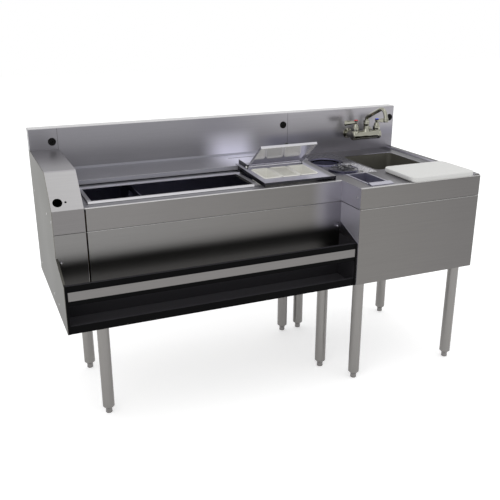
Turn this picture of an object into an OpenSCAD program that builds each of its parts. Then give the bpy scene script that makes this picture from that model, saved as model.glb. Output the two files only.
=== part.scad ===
// Underbar bar sink with an ice bin, a condiment unit, a speed rail and a drain station.
// X runs along the counter, Y points to the wall behind it and Z is up from the floor.
// The drawing plane Y = 0 inside each module is the front face of the backsplash.

/* [Overall] */
// Height of the worktop above the floor
top_h = 762; // [740:1:800]
// Height of the cabinets below the worktop
cabinet_h = 356; // [350:1:370]
// Height of the folded front edge above the panel seam
apron_h = 75; // [65:1:85]
// Rise of the backsplash above the worktop
splash_rise = 179; // [170:1:200]
// Thickness of the hollow backsplash
splash_t = 44; // [42:1:55]
// Thickness of the cabinet sheet metal
sheet_t = 1.5; // [1.2:0.1:1.8]
// Outer radius of the folded front and top edges
bend_r = 4; // [3:0.5:5]

/* [Gun housing] */
// Width of the housing at the left end
housing_w = 99; // [95:1:105]
// Rise of the housing above the worktop
housing_rise = 103; // [95:1:108]
// Depth of the flat top of the housing
housing_top_d = 351; // [340:1:360]
// Diameter of the hose hole in the sloped face
gun_hole_d = 30; // [24:1:34]
// Diameter of the small button hole beside it
button_hole_d = 7; // [5:1:9]

/* [Ice bin] */
// Distance from the housing to the ice opening
ice_margin = 33; // [28:1:50]
// Width of the ice opening
ice_w = 559; // [500:1:700]
// Length of the ice opening from front to back
ice_len = 191; // [188:1:230]
// Distance from the front panel to the ice opening
ice_front_margin = 54; // [50:1:70]
// Depth of the rear shelf that the cover slides under
shelf_d = 186; // [170:1:210]
// Height of the rear shelf above the worktop
shelf_rise = 25; // [22:0.5:30]
// Height of the raised rims round the ice opening
rim_rise = 7; // [5:1:7]
// Depth of the ice tub below the worktop
tub_depth = 312; // [290:1:380]
// Thickness of the tub sheet
tub_t = 1.2; // [1:0.1:1.5]
// Thickness of the cold plate
plate_t = 42; // [30:1:45]
// Number of drink lines through the cold plate
line_count = 8; // [4:1:8]

/* [Speed rail] */
// Depth of the bottle rail in front of the bin
rail_d = 125; // [115:1:126]
// Height of the bottle rail
rail_h = 157; // [150:1:165]
// Height of the lower front lip
rail_lip_h = 26; // [22:1:40]
// Height of the upper guard bar
guard_h = 63; // [55:1:70]
// Height of the bright strip on the guard bar
strip_h = 29; // [24:1:34]

/* [Work station] */
// How far the work station stands in front of the bottle rail
station_step = 3; // [0:1:40]
// Width of the perforated insert
insert_w = 184; // [180:1:200]
// Depth of the perforated insert
insert_d = 348; // [344:1:350]
// Distance between the rows of drain holes
hole_pitch = 25.4; // [24:0.2:30]
// Diameter of the drain holes
hole_d = 8; // [6:0.5:9]
// Outer diameter of the waste ring
ring_d = 144; // [140:1:146]
// Outer diameter of the glass rinser
rinser_d = 112; // [104:1:112]
// Width of the tool caddy
caddy_w = 81; // [75:1:90]
// Length of the tool caddy from front to back
caddy_d = 144; // [130:1:146]
// Depth of the tool caddy
caddy_depth = 150; // [120:1:170]

/* [Sink] */
// Width of the sink bowl
sink_w = 229; // [220:1:300]
// Length of the sink bowl from front to back
sink_d = 256; // [240:1:260]
// Depth of the sink bowl
sink_depth = 250; // [220:1:255]
// Corner radius of the sink bowl
sink_r = 20; // [14:1:30]
// Width of the cutting board
board_w = 273; // [260:1:275]
// Length of the cutting board from front to back
board_d = 197; // [190:1:200]
// Thickness of the cutting board
board_t = 19; // [15:1:25]

/* [Faucet] */
// Distance between the two faucet valves
valve_span = 101.6; // [96:0.8:110]
// Height of the faucet body above the worktop
faucet_rise = 76; // [70:1:82]
// Reach of the valves from the backsplash
faucet_out = 63; // [55:1:68]
// Outer radius of the spout tube
spout_r = 8; // [7:0.5:9]
// Length of the straight part of the spout
spout_len = 98; // [80:1:105]

/* [Condiment unit] */
// Width of the condiment unit
tray_w = 279; // [275:1:300]
// Length of the condiment unit along its slope
tray_len = 270; // [266:1:274]
// Height of the skirt round the condiment unit
skirt_h = 15; // [12:1:18]
// Width of the rim of one pan
pan_w = 71.5; // [68:0.1:73]
// Length of the rim of one pan
pan_len = 127; // [122:1:130]
// Depth of each pan
pan_depth = 75; // [50:1:90]
// How far the lid stands open in degrees
lid_open = 41; // [20:1:60]

/* [Legs] */
// Diameter of the legs
leg_d = 41.3; // [38:0.1:45]
// Diameter of the leveling feet
foot_d = 23.4; // [22:0.1:30]
// Height of the feet below the legs
foot_h = 27; // [24:1:32]

/* [Hidden] */
$fn = 48;

// Fits and overruns
cut_over = 1;
running_gap = 0.05;
loose_gap = 0.3;
slide_gap = 1;
hem_w = 12;
seam_gap = 1.5;
module_gap = 5;

// Sections along the wall: housing, ice bin and work station
t = sheet_t;
bar_w = 17;
cond_over = 1;
cond_w = tray_w + cond_over;
cond_margin = 26;
bin_w = ice_margin + ice_w + bar_w + cond_w + cond_margin;
insert_in = 10;
sink_gap = 11;
sink_margin = 76;
station_w = insert_in + insert_w + sink_gap + sink_w + sink_margin;
unit_w = housing_w + bin_w + station_w;
x_left = -unit_w / 2;
x_right = unit_w / 2;
x_bin = x_left + housing_w;
x_station = x_right - station_w;

// Main planes
opening_gap = 19;
opening_back = shelf_d + opening_gap;
ice_front_d = opening_back + ice_len;
bin_d = ice_front_d + ice_front_margin;
rail_front = bin_d + rail_d;
station_d = rail_front + station_step;
under_tub = 44;
base_z = top_h - max(cabinet_h, tub_depth + under_tub);
seam_z = top_h - apron_h;
splash_z = top_h + splash_rise;
housing_z = top_h + housing_rise;
rail_slope_rise = 48;
rail_z = base_z + rail_h;
kink_z = rail_z + rail_slope_rise;
shelf_z = top_h + shelf_rise;
rim_z = top_h + rim_rise;

// Sheet bodies
sheet_gray = [0.66, 0.66, 0.65];
panel_cream = [0.70, 0.69, 0.65];
rail_black = [0.08, 0.08, 0.09];
rear_hem_h = 61;
rear_top_z = splash_z - rear_hem_h;

// Grommets in the backsplash
grommet_r = 14;
grommet_neck_r = 11.5;
grommet_inset = 20;
grommet_drop = 49;
grommet_t = 2.5;
grommet_slit = 0.8;
grommet_core_r = 3;
grommet_z = splash_z - grommet_drop;
grommet_xs = [x_bin - grommet_inset, x_station - grommet_inset, x_right - grommet_inset];

// Gun housing
slope_a = atan2(housing_rise, bin_d - housing_top_d);
hole_up = 29.5;
gun_hole_in = 24;
button_hole_in = 48.5;

// Fasteners
nut_r = 8;
nut_h = 4;
dome_r = 5.5;
screw_r = 4;
screw_h = 1.6;
screw_len = 9;
apron_screw_in = 23;
side_screw_front = 29;
side_screw_mid = 128;
side_screw_back = 3;
side_screw_low = 39;
side_screw_high = 35.6;
side_screw_outs = [bin_d - side_screw_front, bin_d - side_screw_mid, side_screw_back];
side_screw_zs = [base_z + side_screw_low, seam_z + side_screw_high];
side_screws = [for (out = side_screw_outs, z = side_screw_zs) [-out, z]];
nut_inset = 15;
nut_drop = 16.5;
nut_z = kink_z - nut_drop;

// Ice bin
ice_x0 = x_bin + ice_margin;
ice_x1 = ice_x0 + ice_w;
rim_w = 12;
front_rim_flat = 6;
cond_x0 = ice_x1 + bar_w;
cond_x1 = cond_x0 + cond_w;
tub_left_gap = 23;
tub_lap = 2;
tub_x0 = x_bin + tub_left_gap;
tub_x1 = cond_x1;
tub_back = 30;
tub_front = ice_front_d + tub_lap;
tub_z = top_h - tub_depth;
tub_r = 8;
tub_flange = 8;
tub_flange_z = top_h - t - tub_t;
foam_inset = 8;
foam_front_gap = 15;
foam_front = bin_d - foam_front_gap;
foam_back = 2;
tub_drain_r = 22;
tub_drain_in = 96;
tub_drain_x = tub_x1 - tub_drain_in;
tub_drain_y = -(tub_front + tub_back) / 2;
plate_inset = 40;
plate_share = 0.485;
plate_x0 = tub_x0 + plate_inset;
plate_x1 = plate_x0 + (tub_x1 - tub_x0) * plate_share;
plate_front = tub_front - plate_inset;
plate_back = tub_back + plate_inset;
groove_w = 5;
groove_depth = 4;
groove_count = 5;
line_r = 4.8;
line_grip_r = 5.4;
line_grip_low = 4;
line_in = 24;
line_first = 40;
line_pitch = 26;
line_out = 26;
line_x = plate_x0 + line_in;
line_grip_z = base_z - line_grip_low;
line_end_z = base_z - line_out;
pipe_r = 16.7;
pipe_bore_r = 13;
drain_flange_r = 30;
drain_flange_t = 2;
bin_pipe_out = 26;
bin_pipe_z = base_z - bin_pipe_out;
divider_share = 0.31;
divider_x = ice_x0 + ice_w * divider_share;
divider_t = 2;
divider_foot = 8;
divider_drop = 7;
divider_z1 = top_h - divider_drop;
grip_r = 14;
grip_len = 60;
grip_drop = 34;
cover_t = 1.2;
cover_front = 240;
cover_back = 30;
cover_lip = 6;
cover_side_gap = 1;
cover_right_gap = 3;
shelf_hem = 15;
shelf_slot_w = 8;
shelf_slot_out = 50;
shelf_lip = 8;
shelf_rib_in = 18;
shelf_rib_x = cond_x0 + shelf_rib_in;
shelf_slot_margin = 24;

// Speed rail
end_t = 2;
end_flange = 8;
rail_t = 1.5;
guard_flange = 14;
trough_back_h = 100;
strip_drop = 19;
strip_end_gap = 1;
rail_x0 = x_left + t;
rail_x1 = x_station - t;

// Work station
edge_rise = 5;
edge_w = 26;
edge_slope = 4;
insert_x0 = x_station + insert_in;
insert_x1 = insert_x0 + insert_w;
insert_back = 30;
insert_front = insert_back + insert_d;
ledge_w = 7;
pan_x0 = insert_x0 + ledge_w;
pan_x1 = insert_x1 - ledge_w;
pan_back = insert_back + ledge_w;
pan_front = insert_front - ledge_w;
under_z = top_h - t;
pan_sheet = 1.2;
pan_drop = 37;
pan_floor_z = top_h - pan_drop;
wet_in = 74;
wet_x = insert_x0 + wet_in;
ring_y = -170;
rinser_y = -313;
ring_w = 16;
ring_t = 4;
chute_wall = 1.5;
chute_in = 1;
chute_r = ring_d / 2 - ring_w - chute_in;
chute_drop = 162;
chute_z = top_h - chute_drop;
chute_lock_w = 4;
chute_lock_h = 6;
chute_flange = 6;
chute_top_gap = 4;
finger_r = 7.5;
finger_in = 53;
finger_x = insert_x1 - finger_in;
finger_y = -352;
pan_tail_r = 14;
pan_tail_drop = 200;
pan_tail_z = top_h - pan_tail_drop;
pan_tail_in = 31;
pan_tail_x = insert_x1 - pan_tail_in;
pan_tail_y = -240;
pan_tail_wall = 2;
wet_clear = 6;
plain_in = 13;
plain_x = wet_x + plain_in;
plain_y = -252;

rinser_r = rinser_d / 2;
rinser_hole_r = rinser_r + slide_gap;
rinser_wall = 2;
rinser_neck_h = 9;
rinser_floor_z = pan_floor_z + rinser_neck_h;
rinser_rise = 7;
rinser_top_z = top_h + rinser_rise;
rinser_ledge = 3;
grate_drop = 4;
grate_z = rinser_top_z - grate_drop;
grate_t = 2;
grate_hole_r = 3;
grate_rings = 2;
grate_first_r = 22;
grate_step_r = 16;
valve_r = 9;
valve_stem_r = 5;
valve_thread_r = 12;
valve_thread_len = 46;
valve_thread_z = pan_floor_z - valve_thread_len;
valve_nut_r = 18;
valve_nut_h = 9;
neck_r = 18;
star_travel = 5;
star_hub_r = 9;
star_hub_h = 9;
star_arm_len = 42;
star_arm_w = 8;
star_arm_t = 4;
star_arms = 5;
star_z = grate_z + grate_t + star_travel + slide_gap;
star_stem_len = 20;

caddy_in = 58;
caddy_x0 = x_station + caddy_in;
caddy_back = 386;
caddy_wall = 1.2;
caddy_rim = 5;
caddy_rim_t = 1.5;
caddy_lip_d = 25;
caddy_lip_rise = 6;
caddy_divider_share = 0.34;
caddy_divider_drop = 18;

sink_x0 = insert_x1 + sink_gap;
sink_back = 102;
sink_wall = 1.2;
sink_flange = 7;
sink_floor_z = top_h - t - sink_depth;
drain_x = sink_x0 + sink_w / 2;
drain_y = -sink_back - sink_d / 2;
drain_cup_r = 44;
drain_cup_h = 40;
drain_cup_wall = 2;
drain_rim_r = 54;
drain_rim_t = 2;
tail_r = 19;
tail_wall = 1.5;
tail_rise = 24;
tail_z = base_z + tail_rise;
basket_r = 39;
basket_h = 34;
basket_t = 1.5;
basket_rim_r = 46;
basket_hole_r = 2.5;
basket_post_r = 3;
basket_post_h = 44;
basket_knob_r = 8;
basket_knob_h = 8;

board_in = 2.7;
board_x0 = sink_x0 + board_in;
board_back = 390;
board_r = 25;
board_bevel = 2;

// Faucet
faucet_in = 175;
faucet_x = x_right - faucet_in;
faucet_z = top_h + faucet_rise;
body_r = 20;
body_end = 18;
arm_r = 10;
sleeve_r = 15;
riser_r = 13;
riser_h = 20;
bonnet_r = 15;
bonnet_base_r = 13;
bonnet_neck_r = 9;
bonnet_h = 28;
bonnet_step = 14;
stem_r = 4;
stem_h = 9;
flange_r = 22;
flange_t = 5;
shank_gap = 4;
shank_len = splash_t - shank_gap;
shank_hole_r = 11;
shank_nut_r = 17;
shank_nut_h = 7;
hub_r = 6;
hub_h = 13;
index_r = 8.5;
index_h = 3.5;
lever_len = 55;
lever_t = 5;
lever_low = 2;
lever_high = 12;
lever_end_low = -5;
lever_end_high = 17;
center_r = 12;
center_h = 52;
center_bore = 26;
spout_bend_r = 14;
spout_lift = 25;
spout_arc_r = 28;
spout_end_a = 165;
spout_drop = 12;
spout_collar_r = 13;
spout_collar_h = 8;
spout_rise = 11;
run_over = 1;
elbow_step = 0.3;
aerator_r = 10.5;
aerator_h = 15;
aerator_bore_r = 6;
bonnet_z = faucet_z + riser_h;
stem_z = bonnet_z + bonnet_h;
center_z = faucet_z + center_h;
spout_c1 = [-faucet_out - spout_bend_r, center_z + spout_rise];
spout_a1 = 90 - spout_lift;
spout_p1 = spout_c1 + spout_bend_r * [cos(spout_a1), sin(spout_a1)];
spout_p2 = spout_p1 + spout_len * [-sin(spout_a1), cos(spout_a1)];
spout_c2 = spout_p2 - spout_arc_r * [cos(spout_a1), sin(spout_a1)];
spout_p3 = spout_c2 + spout_arc_r * [cos(spout_end_a), sin(spout_end_a)];
spout_way = [-sin(spout_end_a), cos(spout_end_a)];

// Condiment unit
tray_in = 10.3;
tray_x0 = cond_x0 + tray_in;
tray_x1 = tray_x0 + tray_w;
tray_step = 17;
tray_front = bin_d - tray_step;
tray_tilt = atan2(shelf_rise - skirt_h + t, tray_front - shelf_d);
skirt_len = tray_front - shelf_d - slide_gap;
tray_lip = 8;
pan_gap = 0.5;
pan_pitch = pan_w + pan_gap;
pan_rim_t = 4;
pan_rim_w = 3.4;
pan_wall = 2;
pan_r = 12;
pan_first = 44;
pans_in = 17.6;
pans_x0 = tray_x0 + pans_in;
lid_side_gap = 2.2;
lid_t = 1.2;
lid_flange = 9;
lid_x0 = pans_x0 - lid_side_gap;
lid_x1 = pans_x0 + 2 * pan_pitch + pan_w + lid_side_gap;
hinge_gap = 19;
hinge_u = pan_first + pan_len + hinge_gap;
hinge_n = 6;
hinge_pin_r = 2.5;
curl_r = 4.2;
ear_t = 2;
ear_w = 10;
ear_h = 16;
ear_gap = 0.5;
lid_front_gap = 6;
lid_front_u = pan_first - lid_front_gap;
lid_n = hinge_n + curl_r;
lid_flange_end = hinge_u - curl_r - lid_side_gap;
knob_r = 8;
knob_h = 8;
knob_stem_r = 4;
knob_stem_h = 6;
knob_in = 20;

// Legs and feet
leg_wall = 1.5;
leg_plate_w = 70;
leg_plate_t = 4;
bin_leg_inset = 36.5;
station_leg_inset = 40;
leg_front_inset = 48;
leg_back = 55;
socket_h = 25;
stud_r = 8;
stud_len = 40;
foot_shoulder = 7;
foot_chamfer = 2;
leg_r = leg_d / 2;
foot_r = foot_d / 2;
bin_leg_xs = [x_bin + bin_leg_inset, x_station - bin_leg_inset];
station_leg_xs = [x_station + station_leg_inset, x_right - station_leg_inset];
leg_places = [
    for (x = bin_leg_xs, y = [-(bin_d - leg_front_inset), -leg_back]) [x, y],
    for (x = station_leg_xs, y = [-(station_d - leg_front_inset), -leg_back]) [x, y]];

// The row's Y origin is midway between the wall face and the front of the cutting board
board_front = board_back + board_d;
front_most = max(board_front, station_d, rail_front);
row_y = (front_most - splash_t) / 2;

// Shape helpers
module in_row() translate([0, row_y, 0]) children();
module box(lo, hi) translate(lo) cube(hi - lo);
module along_x(a, b) translate([a, 0, 0]) rotate([90, 0, 90]) linear_extrude(b - a) children();
module along_y(a, b) translate([0, b, 0]) rotate([90, 0, 0]) linear_extrude(b - a) children();
module along_z(a, b) translate([0, 0, a]) linear_extrude(b - a) children();
module round_z(x, y, r, a, b) translate([x, y, a]) cylinder(r = r, h = b - a);
module round_y(x, z, r, a, b) translate([x, a, z]) rotate([-90, 0, 0]) cylinder(r = r, h = b - a);
module round_x(y, z, r, a, b) translate([a, y, z]) rotate([0, 90, 0]) cylinder(r = r, h = b - a);

module rounded_rect(lo, hi, r) {
    translate([lo.x + r, lo.y]) square([hi.x - lo.x - 2 * r, hi.y - lo.y]);
    translate([lo.x, lo.y + r]) square([hi.x - lo.x, hi.y - lo.y - 2 * r]);
    for (x = [lo.x + r, hi.x - r], y = [lo.y + r, hi.y - r]) translate([x, y]) circle(r);
}

// A box with rounded upright corners
module rounded_box(lo, hi, r) along_z(lo.z, hi.z) rounded_rect([lo.x, lo.y], [hi.x, hi.y], r);

// A rectangle whose upper left corner is round
module corner_rect(lo, hi, r) {
    translate([lo.x + r, lo.y]) square([hi.x - lo.x - r, hi.y - lo.y]);
    translate(lo) square([hi.x - lo.x, hi.y - lo.y - r]);
    translate([lo.x + r, hi.y - r]) circle(r);
}

// The folded front edge of a worktop whose front face is d out from the backsplash
module front_fold(d) difference() {
    corner_rect([-d, seam_z], [-d + hem_w, top_h], bend_r);
    corner_rect([-d + t, seam_z + t], [-d + hem_w + cut_over, top_h - t], bend_r - t);
}

// Backsplash
module splash_upper() difference() {
    corner_rect([0, housing_z], [splash_t, splash_z], bend_r);
    corner_rect([t, housing_z - cut_over], [splash_t - t, splash_z - t], bend_r - t);
    translate([bend_r, housing_z - cut_over]) square([splash_t, rear_top_z - housing_z + cut_over]);
}

module splash_piece(a, b, foot_a) {
    along_x(a, b) splash_upper();
    box([foot_a, 0, seam_z], [b, t, housing_z + t]);
}

module splash_hole(x) round_y(x, grommet_z, grommet_neck_r, -cut_over, t + cut_over);

module backsplash_left() in_row() color(sheet_gray) difference() {
    union() {
        splash_piece(x_left, x_bin, x_left + t);
        box([x_left, 0, housing_z], [x_left + t, splash_t, splash_z - bend_r]);
    }
    splash_hole(grommet_xs[0]);
}

module backsplash_center() in_row() color(sheet_gray) difference() {
    splash_piece(x_bin, x_station, x_bin);
    splash_hole(grommet_xs[1]);
}

module backsplash_right() in_row() color(sheet_gray) difference() {
    union() {
        splash_piece(x_station, x_right, x_station);
        box([x_right - t, 0, seam_z], [x_right, splash_t, splash_z - bend_r]);
    }
    splash_hole(grommet_xs[2]);
    for (s = [-1, 1])
        round_y(faucet_x + s * valve_span / 2, faucet_z, shank_hole_r, -cut_over, t + cut_over);
}

service_w = 190;
service_h = 150;
service_z = base_z + 70;
supply_w = 70;
supply_h = 52;

module rear_panel() in_row() color(sheet_gray) difference() {
    box([x_left + t, splash_t - t, base_z], [x_right - t, splash_t, rear_top_z]);
    for (x = [x_bin + service_w, drain_x])
        box([x - service_w / 2, 0, service_z],
            [x + service_w / 2, splash_t + cut_over, service_z + service_h]);
    for (s = [-1, 1])
        translate([faucet_x + s * valve_span / 2, 0, faucet_z])
            box([-supply_w / 2, 0, -supply_h / 2], [supply_w / 2, splash_t + cut_over, supply_h / 2]);
}

// Left end
module side_outline(front_z) polygon([
    [splash_t, base_z], [splash_t, housing_z], [-housing_top_d, housing_z],
    [-bin_d, top_h], [-bin_d, front_z], [-rail_front, rail_z], [-rail_front, base_z]]);

slope_flange_end_share = 0.9;
slope_flange_w = 7;

module left_side_panel() in_row() color(panel_cream) {
    difference() {
        along_x(x_left, x_left + t) side_outline(kink_z);
        for (p = side_screws)
            round_x(p[0], p[1], screw_r + running_gap, x_left - cut_over, x_left + t + cut_over);
    }
    end_y = -bin_d - rail_d * slope_flange_end_share;
    end_z = kink_z - (kink_z - rail_z) * slope_flange_end_share;
    along_x(x_left, x_left + slope_flange_w)
        polygon([[-bin_d, kink_z], [end_y, end_z], [end_y, end_z - t], [-bin_d, kink_z - t]]);
}

// Sheet profile of the housing hood: flat top, sloped face and short front
module hood_profile() {
    top_in = t * tan(slope_a / 2);
    foot_in = t * tan((90 - slope_a) / 2);
    polygon([
        [0, housing_z], [-housing_top_d, housing_z], [-bin_d, top_h], [-bin_d, seam_z],
        [-bin_d + t, seam_z], [-bin_d + t, top_h - foot_in],
        [-housing_top_d + top_in, housing_z - t], [0, housing_z - t]]);
}

module slope_hole(x, up, r) translate([x, -bin_d, top_h]) rotate([-(90 - slope_a), 0, 0])
    translate([0, 0, up]) rotate([90, 0, 0]) cylinder(r = r, h = 20 * t, center = true);

module gun_housing() in_row() color(sheet_gray) difference() {
    union() {
        along_x(x_left + t, x_bin) hood_profile();
        along_x(x_bin - t, x_bin) polygon([
            [0, base_z + t], [0, housing_z], [-housing_top_d, housing_z],
            [-bin_d, top_h], [-bin_d, base_z + t]]);
        box([x_left + t, -bin_d, seam_z], [x_bin, -bin_d + hem_w, seam_z + t]);
    }
    slope_hole(x_left + gun_hole_in, hole_up, gun_hole_d / 2);
    slope_hole(x_left + button_hole_in, hole_up, button_hole_d / 2);
}

module domed_nut(x) translate([x, -bin_d + t / 2, nut_z]) rotate([90, 0, 0]) {
    cylinder(r = nut_r, h = nut_h + t / 2, $fn = 6);
    translate([0, 0, nut_h + t / 2]) intersection() {
        sphere(dome_r);
        cylinder(r = nut_r, h = nut_r);
    }
}

module housing_front_panel() in_row() color(sheet_gray) {
    box([x_left + t, -bin_d, base_z], [x_bin - t, -bin_d + t, seam_z - seam_gap]);
    box([x_left + t, -bin_d, seam_z - seam_gap - t], [x_bin - t, -bin_d + hem_w, seam_z - seam_gap]);
    domed_nut(x_left + nut_inset);
}

// Ice bin
module bin_top() in_row() color(sheet_gray) {
    difference() {
        box([x_bin, -bin_d + bend_r, top_h - t], [x_station, 0, top_h]);
        box([ice_x0, -ice_front_d, top_h - 2 * t], [ice_x1, -opening_back, top_h + t]);
        box([cond_x0, -ice_front_d, top_h - 2 * t], [cond_x1, -opening_back, top_h + t]);
    }
    along_x(x_bin + module_gap, x_station) front_fold(bin_d);
    box([ice_x0 - rim_w, -ice_front_d, top_h], [ice_x0, -cover_back, rim_z]);
    box([ice_x1, -ice_front_d - front_rim_flat, top_h], [cond_x0, -cover_back, rim_z]);
    box([ice_x0, -opening_back, top_h], [ice_x1, -opening_back + rim_w, rim_z]);
    along_x(ice_x0 - rim_w, ice_x1) polygon([
        [-ice_front_d, top_h], [-ice_front_d, rim_z], [-ice_front_d - front_rim_flat, rim_z],
        [-ice_front_d - front_rim_flat - rim_rise, top_h]]);
}

module bin_front_panel() in_row() color(sheet_gray) {
    x0 = x_bin + module_gap;
    z1 = seam_z - seam_gap;
    box([x0, -bin_d, base_z], [x_station, -bin_d + t, z1]);
    box([x0, -bin_d, z1 - t], [x_station, -bin_d + hem_w, z1]);
    box([x0, -bin_d, base_z + t], [x0 + t, -bin_d + hem_w, z1]);
    along_x(x_station - t, x_station) polygon([
        [-bin_d + t / 2, base_z], [-bin_d + t / 2, kink_z], [-bin_d, kink_z],
        [-rail_front, rail_z], [-rail_front, base_z]]);
    domed_nut(x_station - nut_inset);
}

module drink_lines(r, a, b)
    for (i = [0:line_count - 1]) round_z(line_x, -plate_back - line_first - i * line_pitch, r, a, b);

module ice_tub() in_row() color(sheet_gray) difference() {
    union() {
        rounded_box([tub_x0 - tub_t, -tub_front - tub_t, tub_z - tub_t],
            [tub_x1 + tub_t, -tub_back + tub_t, tub_flange_z + tub_t], tub_r + tub_t);
        rounded_box([tub_x0 - tub_flange, -tub_front - tub_flange, tub_flange_z],
            [tub_x1 + tub_flange, -tub_back + tub_flange, tub_flange_z + tub_t], tub_r + tub_flange);
    }
    rounded_box([tub_x0, -tub_front, tub_z], [tub_x1, -tub_back, top_h], tub_r);
    round_z(tub_drain_x, tub_drain_y, tub_drain_r, tub_z - cut_over - tub_t, tub_z + cut_over);
    drink_lines(line_grip_r + loose_gap, tub_z - cut_over - tub_t, tub_z + cut_over);
}

module tub_insulation() in_row() color([0.92, 0.86, 0.66]) difference() {
    box([x_bin + foam_inset, -foam_front, base_z + t], [x_station, -foam_back, tub_flange_z]);
    rounded_box([tub_x0 - tub_t, -tub_front - tub_t, tub_z - tub_t],
        [tub_x1 + tub_t, -tub_back + tub_t, top_h], tub_r + tub_t);
    round_z(tub_drain_x, tub_drain_y, tub_drain_r + slide_gap, base_z, tub_z);
    drink_lines(line_grip_r + slide_gap, base_z, tub_z);
}

module cold_plate() in_row() color([0.78, 0.79, 0.80]) {
    difference() {
        box([plate_x0, -plate_front, tub_z], [plate_x1, -plate_back, tub_z + plate_t]);
        for (i = [1:groove_count]) {
            y = -plate_back - i * (plate_front - plate_back) / (groove_count + 1);
            box([plate_x0 - cut_over, y - groove_w / 2, tub_z + plate_t - groove_depth],
                [plate_x1 + cut_over, y + groove_w / 2, tub_z + plate_t + cut_over]);
        }
    }
    drink_lines(line_grip_r, line_grip_z, tub_z + plate_t / 2);
    drink_lines(line_r, line_end_z, tub_z);
}

module bin_drain() in_row() color([0.72, 0.72, 0.70]) difference() {
    union() {
        round_z(tub_drain_x, tub_drain_y, drain_flange_r, tub_z, tub_z + drain_flange_t);
        round_z(tub_drain_x, tub_drain_y, tub_drain_r - loose_gap, tub_z - tub_t, tub_z);
        round_z(tub_drain_x, tub_drain_y, pipe_r, bin_pipe_z, tub_z);
    }
    round_z(tub_drain_x, tub_drain_y, pipe_bore_r, bin_pipe_z - cut_over, tub_z + drain_flange_t + cut_over);
}

module bin_divider() in_row() color(sheet_gray) difference() {
    union() {
        z0 = tub_z + plate_t;
        front_y = -tub_front + slide_gap;
        back_y = -tub_back - slide_gap;
        box([divider_x, front_y, z0], [divider_x + divider_t, back_y, divider_z1]);
        box([divider_x, front_y, z0], [divider_x + divider_foot, front_y + divider_t, divider_z1]);
        box([divider_x, back_y - divider_t, z0], [divider_x + divider_foot, back_y, divider_z1]);
        box([divider_x, -plate_front, z0], [divider_x + divider_foot, -plate_back, z0 + divider_t]);
    }
    mid_y = -(tub_front + tub_back) / 2;
    grip_z = divider_z1 - grip_drop;
    for (s = [-1, 1])
        round_x(mid_y + s * grip_len / 2, grip_z, grip_r, divider_x - cut_over, divider_x + divider_foot);
    box([divider_x - cut_over, mid_y - grip_len / 2, grip_z - grip_r],
        [divider_x + divider_foot, mid_y + grip_len / 2, grip_z + grip_r]);
}

module rear_shelf() in_row() color(sheet_gray) difference() {
    union() {
        box([x_bin, -shelf_d, shelf_z - t], [x_station, 0, shelf_z]);
        box([x_bin, -shelf_d, shelf_z - shelf_hem], [x_station, -shelf_d + t, shelf_z]);
        box([x_bin, -t, shelf_z - t], [x_station, 0, shelf_z + shelf_lip]);
        for (x = [x_bin, shelf_rib_x, x_station - t])
            box([x, -shelf_d + t, top_h], [x + t, -t, shelf_z - t]);
    }
    box([cond_x0 + shelf_slot_margin, -shelf_slot_out - shelf_slot_w, shelf_z - 2 * t],
        [cond_x1 - shelf_slot_margin / 2, -shelf_slot_out, shelf_z + t]);
}

module bin_cover() in_row() color(sheet_gray) {
    x0 = ice_x0 - rim_w + cover_side_gap;
    x1 = cond_x0 - cover_right_gap;
    box([x0, -cover_front, rim_z], [x1, -cover_back - slide_gap, rim_z + cover_t]);
    box([x0, -cover_front, rim_z], [x1, -cover_front + cover_t, rim_z + cover_lip]);
}

open_side = 14;
open_end = 90;

module base_panels() in_row() color(sheet_gray) {
    difference() {
        box([x_left + t, -bin_d + t, base_z], [x_station, splash_t - t, base_z + t]);
        round_z(tub_drain_x, tub_drain_y, tub_drain_r + slide_gap, base_z - cut_over, base_z + t + cut_over);
        drink_lines(line_grip_r + slide_gap, base_z - cut_over, base_z + t + cut_over);
    }
    difference() {
        box([x_station + t, -station_d + t, base_z], [x_right - t, splash_t - t, base_z + t]);
        rounded_box([x_station + open_side, -station_d + open_end, base_z - cut_over],
            [x_right - open_side, -open_end, base_z + t + cut_over], tub_r);
    }
}

// Speed rail
module rail_trough() in_row() color(rail_black) along_x(rail_x0 + end_t, rail_x1 - end_t) {
    front = -rail_front + 2 * rail_t;
    translate([-bin_d - rail_t, base_z]) square([rail_t, trough_back_h]);
    translate([front - rail_t, base_z]) square([-bin_d - front + rail_t, rail_t]);
    translate([front - rail_t, base_z]) square([rail_t, rail_lip_h]);
    translate([front - rail_t, base_z + rail_lip_h - rail_t]) square([hem_w, rail_t]);
}

// The guard bar and the two end plates that carry it
module rail_frame() in_row() color(rail_black) {
    front = -rail_front + rail_t;
    low = rail_z - guard_h;
    along_x(rail_x0 + end_t, rail_x1 - end_t) {
        translate([front, low]) square([rail_t, guard_h]);
        for (z = [low, rail_z - rail_t]) translate([front, z]) square([guard_flange, rail_t]);
    }
    for (x = [rail_x0, rail_x1 - end_t]) {
        box([x, -rail_front, base_z], [x + end_t, -bin_d, rail_z]);
        flange_x = x == rail_x0 ? x : x + end_t - end_flange;
        box([flange_x, -rail_front, base_z], [flange_x + end_flange, -rail_front + rail_t, rail_z]);
    }
}

module rail_strip() in_row() color([0.74, 0.74, 0.73])
    box([rail_x0 + end_flange + strip_end_gap, -rail_front, rail_z - strip_drop - strip_h],
        [rail_x1 - end_flange - strip_end_gap, -rail_front + rail_t, rail_z - strip_drop]);

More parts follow.
